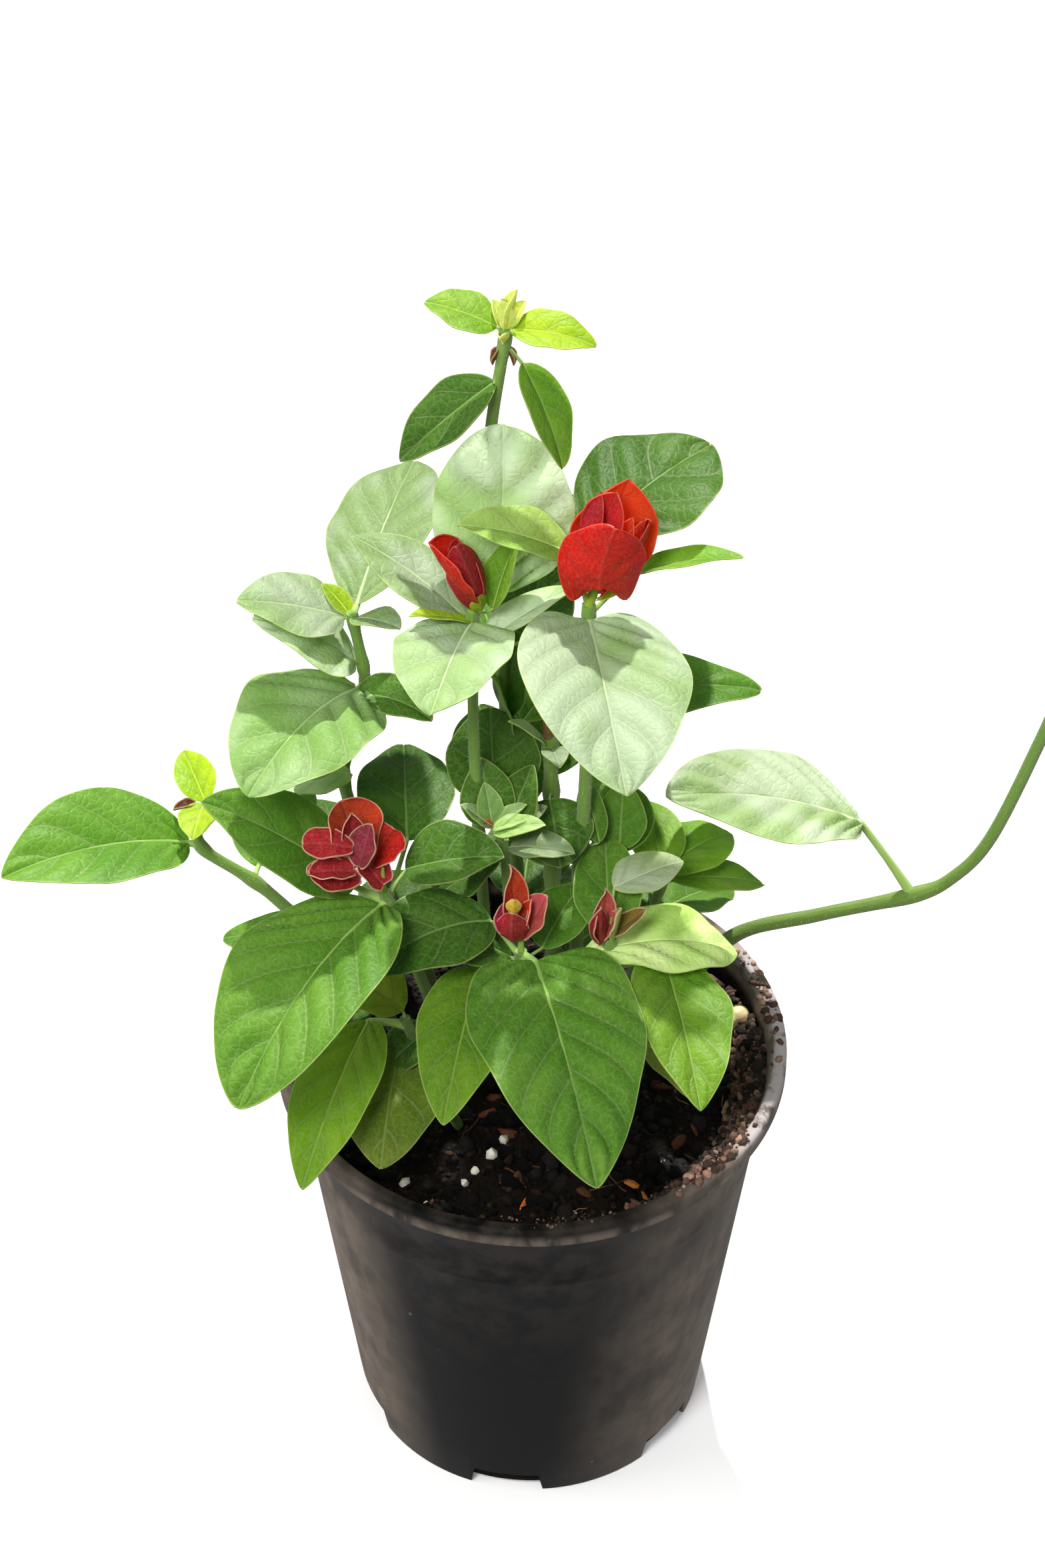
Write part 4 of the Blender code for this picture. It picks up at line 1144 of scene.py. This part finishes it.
# %% [markdown]
# ## Soil
#
# Potting soil is a mix of dark peat, bark and white perlite. A smooth surface with a noise
# texture looks like felt, so the ground is made in two layers: a lumpy surface that fills the
# pot, and thousands of small crumbs that lie on it. Each crumb is a twenty-sided ball with its
# corners pushed in and out, which is rough enough at this size.

# %% The soil's surface
SOIL_EDGE_HEIGHT = 126.0
SOIL_MIDDLE_HEIGHT = 131.0
SOIL_LUMP = 1.6             # height of the large lumps
SOIL_RIPPLE = 0.16          # height of each of the finer ones
SOIL_INSET = 2.1            # from the wall's outside to the soil
SOIL_FOOT_HEIGHT = 2.7      # just over the pot's floor
SOIL_SIDES, SOIL_RINGS = 150, 66


def soil_height(x, y):
    """Height of the soil: a low mound, two trains of lumps, and a dozen finer trains."""
    from_middle = np.hypot(x, y) / WALL_TOP_RADIUS
    mound = SOIL_MIDDLE_HEIGHT + (SOIL_EDGE_HEIGHT - SOIL_MIDDLE_HEIGHT) * from_middle ** 2
    lumps = np.sin(0.21 * x + 1.3) * np.cos(0.24 * y + 0.4) + 0.6 * np.sin(0.43 * x - 0.37 * y)
    fine = 0
    waves = np.random.default_rng(3)
    for _ in range(12):
        heading = waves.uniform(0, np.pi)
        pitch = waves.uniform(0.5, 1.4)
        fine = fine + np.sin(pitch * (x * np.cos(heading) + y * np.sin(heading)) + waves.uniform(0, 6))
    return mound + SOIL_LUMP * lumps + SOIL_RIPPLE * fine


def on_ground(x, y, lift):
    """Points over or under the soil's surface, by a lift."""
    return np.stack([x, y, soil_height(x, y) + lift], -1)


def make_soil():
    """A closed plug: rings out over the top, down the side and in over the bottom."""
    turn = full_turn(SOIL_SIDES)
    radii = np.linspace(0.02, 1, SOIL_RINGS)[:, None] * (wall_radius(SOIL_EDGE_HEIGHT - 4) - SOIL_INSET)
    rings = [on_ground(radii * np.cos(turn), radii * np.sin(turn), 0)]
    for height in (60.0, SOIL_FOOT_HEIGHT):
        rings.append(polar(wall_radius(height) - SOIL_INSET, turn, height)[None])
    points = np.concatenate(rings)
    faces = [face[::-1] for face in tube_faces(len(points), SOIL_SIDES)]
    settle(link_mesh("soil_bed", points.reshape(-1, 3), faces, soil_brown, smooth=60), "soil", "potting_soil")


make_soil()

# %% Crumbs
FLAKE = (1.7, 0.75, 0.35)   # form of a bit of bark: length, width and height as shares of its size
crumb_rng = np.random.default_rng(11)       # everything loose draws from it, in one order


def ball():
    """The twelve corners and twenty faces of a regular solid, from the golden ratio."""
    g = (1 + 5 ** 0.5) / 2
    corners = np.array([(-1, g, 0), (1, g, 0), (-1, -g, 0), (1, -g, 0), (0, -1, g), (0, 1, g),
                        (0, -1, -g), (0, 1, -g), (g, 0, -1), (g, 0, 1), (-g, 0, -1), (-g, 0, 1)])
    faces = [(0, 11, 5), (0, 5, 1), (0, 1, 7), (0, 7, 10), (0, 10, 11), (1, 5, 9), (5, 11, 4),
             (11, 10, 2), (10, 7, 6), (7, 1, 8), (3, 9, 4), (3, 4, 2), (3, 2, 6), (3, 6, 8),
             (3, 8, 9), (4, 9, 5), (2, 4, 11), (6, 2, 10), (8, 6, 7), (9, 8, 1)]
    return unit(corners), faces


def random_turns(count):
    """Rotation matrices from random unit quaternions."""
    w, x, y, z = unit(crumb_rng.normal(size=(count, 4))).T
    rows = [1 - 2 * (y * y + z * z), 2 * (x * y - z * w), 2 * (x * z + y * w),
            2 * (x * y + z * w), 1 - 2 * (x * x + z * z), 2 * (y * z - x * w),
            2 * (x * z - y * w), 2 * (y * z + x * w), 1 - 2 * (x * x + y * y)]
    return np.stack(rows, -1).reshape(count, 3, 3)


def scatter(shape, places, sizes, tints, stretch=(1, 1, 0.8), rough=0.28):
    """Add one crumb at each place: place + turn * (corner * jitter * stretch * size).

    A size is given for each crumb, or drawn between the two of a tuple. A tint is drawn between
    two colours, most often near the first.
    """
    corners, faces = ball()
    count = len(places)
    if isinstance(sizes, tuple):
        sizes = crumb_rng.uniform(*sizes, count)
    first, second = tints
    tint = first + (second - first) * crumb_rng.random((count, 1)) ** 3
    jitter = crumb_rng.uniform(1 - rough, 1 + rough, (count, len(corners), 1))
    grown = corners * jitter * np.array(stretch) * np.reshape(sizes, (-1, 1, 1))
    turned = np.einsum("nij,nkj->nki", random_turns(count), grown)
    points = (places[:, None] + turned).reshape(-1, 3)
    shape.add(points, repeated(faces, len(corners), count), tint=np.repeat(tint, len(corners), axis=0))


def on_soil(count, reach=65.0, lift=-0.3):
    """Random places on the soil, evenly spread over its disc."""
    radius = reach * np.sqrt(crumb_rng.random(count))
    turn = crumb_rng.uniform(0, 2 * np.pi, count)
    return on_ground(radius * np.cos(turn), radius * np.sin(turn), lift)


DARK_CRUMB = colour(5, 5, 6)
crumbs = Shape()
scatter(crumbs, on_soil(3600), (0.35, 1.25), (DARK_CRUMB, colour(46, 37, 32)))
scatter(crumbs, on_soil(320, 62), (1.4, 3.4), (DARK_CRUMB, colour(30, 26, 25)))
scatter(crumbs, on_soil(110, 63, 0.2), (1.3, 2.8), (colour(22, 17, 15), colour(104, 64, 40)), FLAKE)
settle(crumbs.make("soil_crumbs", crumb_brown), "soil")

# %% [markdown]
# ## Perlite, bark and the bank of dry crumbs
#
# The grains that catch the eye have places of their own: ten white ones, most of them at the
# front, and six bits of orange bark. At the right the pot was overfilled once, and dry brown
# crumbs still lie in a bank from the soil up to the rim and over it. The bank is hollow where
# the pebble lies.

# %% Grains with places of their own
# Rows of x, y and size.
PERLITE = [(-36.3, -42.4, 2.1), (-11.4, -33.9, 2.3), (-19, -44.2, 1.6), (-16.2, -39.8, 1.4), (-8, -27, 1.7),
           (-30, -50, 1.0), (12, -52, 1.2), (38, -34, 1.3), (-24, -55, 0.9), (46, 30, 1.8)]
BARK = [(29, -41.6, 2.6), (5, -27, 2.2), (33, -48, 1.8), (-2, -50, 1.6), (-46, 25, 2.4), (20, 48, 2.6)]


def make_grains(name, rows, lift, tints, stretch, rough, finish, smooth):
    """Grains on the soil, each raised by a share of its size."""
    x, y, size = np.array(rows).T
    shape = Shape()
    scatter(shape, on_ground(x, y, size * lift), size, tints, stretch, rough)
    settle(shape.make(name, finish, smooth=smooth), "soil")


make_grains("perlite_grains", PERLITE, 0.45, (colour(206, 202, 190), colour(236, 232, 222)),
            (1.1, 1, 0.9), 0.2, grain_white, 50)
make_grains("bark_chips", BARK, 0.4, (colour(190, 104, 44), colour(214, 140, 80)),
            (1.7, 0.6, 0.4), 0.28, crumb_brown, 30)

# %% The bank of crumbs at the right
BANK_FROM, BANK_TO = -62.0, 46.0            # headings where the bank starts and ends
BANK_FOOT, BANK_REACH = 59.0, 13.5          # radius of its foot, and how far out it leads
BANK_FOOT_HEIGHT, BANK_RISE = 128.5, 16.6
HEAP_HEADING, HEAP_WIDTH = -42.0, 15.0      # where the bank is fullest
HOLLOW = (60.0, 19.5)                       # x and y of the hollow for the pebble
HOLLOW_RADIUS, HOLLOW_DEPTH = 7.0, 6.0
RIM_INSIDE, RIM_OUTSIDE = 69.5, 73.8        # where crumbs lie on the rim
# Crumbs on the rim: middle heading, spread, count, bounds of a number whose power of 1.5 is the
# crumb's size, and shade.
SPILL = [(-84, 9, 60, 0.25, 0.75, 0.4), (-42, 7, 90, 0.4, 1.5, 0.9), (14, 8, 60, 0.4, 1.4, 1.0)]


def bank_places(count, lift=0.0):
    """Places from the soil (climb 0) up the wall's inside to the rim's top (climb 1)."""
    along = crumb_rng.beta(1.4, 1.4, count)
    heading = BANK_FROM + (BANK_TO - BANK_FROM) * along
    heap = 0.72 + 0.28 * np.exp(-((heading - HEAP_HEADING) / HEAP_WIDTH) ** 2)
    fullness = np.sin(np.pi * along) ** 0.5 * heap
    climb = crumb_rng.random(count) ** 0.8 * fullness
    radius = BANK_FOOT + BANK_REACH * climb + crumb_rng.normal(0, 0.6, count)
    height = BANK_FOOT_HEIGHT + BANK_RISE * climb ** 1.3 + crumb_rng.uniform(-1.0, 0.4, count)
    places = polar(radius, np.radians(heading), height)
    from_hollow = np.hypot(*(places[:, :2] - HOLLOW).T)
    places[:, 2] += lift - HOLLOW_DEPTH * np.maximum(1 - from_hollow / HOLLOW_RADIUS, 0)
    return places


bank = Shape()
scatter(bank, bank_places(1700), (0.4, 1.7), (colour(40, 33, 30), colour(138, 114, 101)))
scatter(bank, bank_places(110), (1.2, 2.5), (colour(24, 20, 19), colour(84, 70, 62)), rough=0.4)
scatter(bank, bank_places(110, 0.6), (1.0, 2.4), (colour(90, 62, 50), colour(168, 140, 122)), (1.6, 0.7, 0.5))
for middle, spread, count, smallest, largest, shade in SPILL:
    turn = np.radians(crumb_rng.normal(middle, spread, count))
    rim_radius = crumb_rng.uniform(RIM_INSIDE, RIM_OUTSIDE, count)
    size = crumb_rng.uniform(smallest, largest, count) ** 1.5
    tints = shade * np.array([colour(70, 54, 46), colour(198, 158, 138)])
    scatter(bank, polar(rim_radius, turn, RIM_HEIGHT + 0.2 * size), size, tints)
settle(bank.make("dry_crumb_bank", crumb_brown), "soil")

# %% Roots and fibres
FIBRE_COUNT = 46
FIBRE_STEPS = 7
FIBRE_SIDES = 5
FIBRE_REACH = 64.0          # one that would run further out is left away

fibres = Shape()
for _ in range(FIBRE_COUNT):
    start = on_soil(1, 60, 0.3)[0]
    heading = crumb_rng.uniform(0, 360)
    headings = heading + np.cumsum(crumb_rng.normal(0, 22, FIBRE_STEPS))
    steps = direction(headings, crumb_rng.normal(0, 8, FIBRE_STEPS))
    line = start + running(steps * crumb_rng.uniform(1.2, 2.6))
    line[:, 2] = np.maximum(line[:, 2], soil_height(line[:, 0], line[:, 1]) + 0.2)
    if np.hypot(line[:, 0], line[:, 1]).max() < FIBRE_REACH:
        pale = crumb_rng.random() ** 3
        tint = colour(70, 50, 36) * (1 - pale) + colour(168, 128, 88) * pale
        path = smooth_path(line, 2)
        add_tube(fibres, path, np.linspace(0.32, 0.12, len(path)), FIBRE_SIDES, tint)
settle(fibres.make("soil_fibres", crumb_brown), "soil")

# %% [markdown]
# ## The pebble
#
# A cream pebble with two lobes lies at the right. Its radius along its length is a smooth
# maximum of two half circles: the fourth root of the sum of their fourth powers.

# %% Pebble
PEBBLE_ENDS = np.array([[58.0, 17.6, 134.0], [62.0, 19.4, 135.2]])
PEBBLE_RADIUS = 3.3         # of both lobes
PEBBLE_RINGS, PEBBLE_SIDES = 30, 24


def make_pebble():
    """Rings along the line through both lobes, with the radius that joins them."""
    gap = np.linalg.norm(PEBBLE_ENDS[1] - PEBBLE_ENDS[0])
    axis = unit(PEBBLE_ENDS[1] - PEBBLE_ENDS[0])
    share = (1 - np.cos(np.linspace(0.05, np.pi - 0.05, PEBBLE_RINGS))) / 2
    run = (gap + 2 * PEBBLE_RADIUS) * share - PEBBLE_RADIUS
    lobes = [np.sqrt(np.maximum(PEBBLE_RADIUS ** 2 - (run - middle) ** 2, 0)) for middle in (0, gap)]
    radii = np.maximum((lobes[0] ** 4 + lobes[1] ** 4) ** 0.25, 0.15)
    shape = Shape()
    # Painted light: the tint is paler than the pebble's own cream, to paint sunlight that the leaves keep off
    # it.
    add_tube(shape, PEBBLE_ENDS[0] + run[:, None] * axis, radii, PEBBLE_SIDES, colour(244, 228, 172))
    settle(shape.make("pebble_stone", pebble_cream), "pebble", "cream_pebble")


make_pebble()

# %% [markdown]
# ## The pot
#
# The pot is thin moulded plastic. It is a shape of turning: one profile, from the middle of the
# underside out, up the wall, over the rolled rim and down inside to the floor, carried round the
# axis. Drain notches are cut through its foot with blocks. The packed pot has 48 flat sides,
# which would show against the light, so this one has many more and the same sizes.

# %% Pot
RIM_RADIUS = 75.0
RIM_TOP_WIDTH = 4.0
WALL_THICKNESS = 1.6
FLOOR_THICKNESS = 2.4
POT_SIDES = 240
MOULD_LINE = 113.0          # a faint step runs round the wall at this height
NOTCH_COUNT = 6
NOTCH_WIDTH = 23.0
NOTCH_HEIGHT = 8.5
NOTCH_DEPTH = 9.0
NOTCH_TAPER = 0.86          # width at the notch's top, as a share of that at its foot
FIRST_NOTCH_HEADING = -98.0


def arc(middle_radius, middle_height, radius, start, end, steps=7):
    """Points of a round corner in the profile, from one angle to another."""
    angle = np.radians(np.linspace(start, end, steps))
    return [(middle_radius + radius * np.cos(a), middle_height + radius * np.sin(a)) for a in angle]


def pot_profile():
    """(radius, height) from the middle of the underside round the wall to the floor's middle."""
    points = [(0.05, 0), (30, 0), (BASE_RADIUS - 6, 0)]
    points += arc(BASE_RADIUS - 1.0, 1.0, 1.0, -90, -8)
    points += [(wall_radius(height) - 0.02, height) for height in (20, 50, 80, MOULD_LINE - 1)]
    points += [(wall_radius(MOULD_LINE) + 0.12, MOULD_LINE), (wall_radius(MOULD_LINE) + 0.02, MOULD_LINE + 1)]
    points += [(wall_radius(BAND_FOOT - 1.5), BAND_FOOT - 1.5), (WALL_TOP_RADIUS + 0.7, BAND_FOOT - 0.2)]
    points += arc(RIM_RADIUS - 0.8, BAND_FOOT + 0.8, 0.8, -90, 0)
    points += arc(RIM_RADIUS - 1.6, RIM_HEIGHT - 1.6, 1.6, 0, 90, 9)
    points += arc(RIM_RADIUS - RIM_TOP_WIDTH + 1.0, RIM_HEIGHT - 1.0, 1.0, 90, 180)
    points += [(wall_radius(BAND_FOOT) - WALL_THICKNESS, BAND_FOOT - 2)]
    points += [(wall_radius(height) - WALL_THICKNESS, height) for height in (90, FLOOR_THICKNESS)]
    return np.array(points + [(0.05, FLOOR_THICKNESS)])


def notch_block(heading):
    """A block with two sloping ends across the foot of the wall: points and faces."""
    outward, sideways = direction(heading, 0), direction(heading + 90, 0)
    foot, top = NOTCH_WIDTH / 2, NOTCH_WIDTH / 2 * NOTCH_TAPER
    corners = [(-foot, -2), (foot, -2), (top, NOTCH_HEIGHT), (-top, NOTCH_HEIGHT)]
    points = [outward * reach + sideways * across + np.array([0, 0, height])
              for reach in (BASE_RADIUS - NOTCH_DEPTH, BASE_RADIUS + 6) for across, height in corners]
    faces = [(3, 2, 1, 0), (4, 5, 6, 7), (0, 1, 5, 4), (1, 2, 6, 5), (2, 3, 7, 6), (3, 0, 4, 7)]
    return np.array(points), faces


def make_pot():
    """The turned profile, with each of its points carried round as a ring, less its notches."""
    profile = pot_profile()
    rings = polar(profile[:, :1], full_turn(POT_SIDES), profile[:, 1:])
    pot = link_mesh("pot_shell", rings.reshape(-1, 3), tube_faces(len(profile), POT_SIDES), pot_black)
    blocks = Shape()
    for k in range(NOTCH_COUNT):
        blocks.add(*notch_block(FIRST_NOTCH_HEADING + k * 360 / NOTCH_COUNT))
    cutter = blocks.make("notch_blocks", pot_black)
    cut = pot.modifiers.new("notches", "BOOLEAN")
    cut.operation = "DIFFERENCE"
    cut.solver = "EXACT"
    cut.object = cutter
    bpy.context.view_layer.update()
    whole = bpy.data.meshes.new_from_object(pot.evaluated_get(bpy.context.evaluated_depsgraph_get()))
    pot.modifiers.clear()
    pot.data = whole
    bpy.data.objects.remove(cutter, do_unlink=True)
    whole.shade_smooth()
    whole.set_sharp_from_angle(angle=np.radians(35))
    settle(pot, "pot", "pot")


make_pot()

# %% [markdown]
# ## Light and floor
#
# The plant stands on a plain white floor. The light that matters comes from behind and above:
# it grazes the flat upper leaves, which turn silvery, and shines through the thin ones. A large
# soft light in front and a pale world fill the shade without a second set of hard shadows. The
# floor glows a little by itself, so that it stays white under the shadows, and it throws no
# light back on the plant.

# %% Stage
FLOOR_HALF = 6000.0         # half the floor's side
FLOOR_GLOW = 0.14
WORLD_LIGHT = 0.37
LIGHT_DISTANCE = 1500.0
LIGHT_TARGET = 220.0        # height that the lights shine on


def make_floor():
    """A wide white floor that also glows faintly."""
    corners = [(-1, -1, 0), (1, -1, 0), (1, 1, 0), (-1, 1, 0)]
    material, _, shader = new_finish("floor", 0.9)
    fill(shader, {"Base Color": (0.9, 0.9, 0.9, 1), "Emission Color": (1, 1, 1, 1),
                  "Emission Strength": FLOOR_GLOW})
    floor = link_mesh("floor", FLOOR_HALF * np.array(corners), [(0, 1, 2, 3)], material)
    floor.visible_glossy = False
    floor.visible_diffuse = False


def add_light(name, kind, heading, rise, energy, tint, size):
    """A light at a heading and a rise that shines on the plant. A sun's size is an angle."""
    light = new_object(name, bpy.data.lights.new(name, kind))
    light.data.energy = energy
    light.data.color = tint
    if kind == "SUN":
        light.data.angle = np.radians(size)
    else:
        light.data.size = size * MM
    light.location = (direction(heading, rise) * LIGHT_DISTANCE + [0, 0, LIGHT_TARGET]) * MM
    light.rotation_euler = Euler((np.radians(90 - rise), 0, np.radians(heading + 90)))
    light.visible_glossy = kind == "SUN"


make_floor()
world = bpy.data.worlds.new("pale_world")
world.use_nodes = True
fill(world.node_tree.nodes["Background"], {"Color": (1, 1, 1, 1), "Strength": WORLD_LIGHT})
bpy.context.scene.world = world
bpy.context.scene.view_settings.view_transform = "Standard"
add_light("key_behind", "SUN", 86, 63, 4.9, (1, 0.97, 0.91), 2)
add_light("fill_front", "AREA", -112, 50, 20, (1, 1, 1), 420)
add_light("side_left", "AREA", 190, 25, 8, (1, 0.95, 0.9), 700)
print("lights are on")

# %% [markdown]
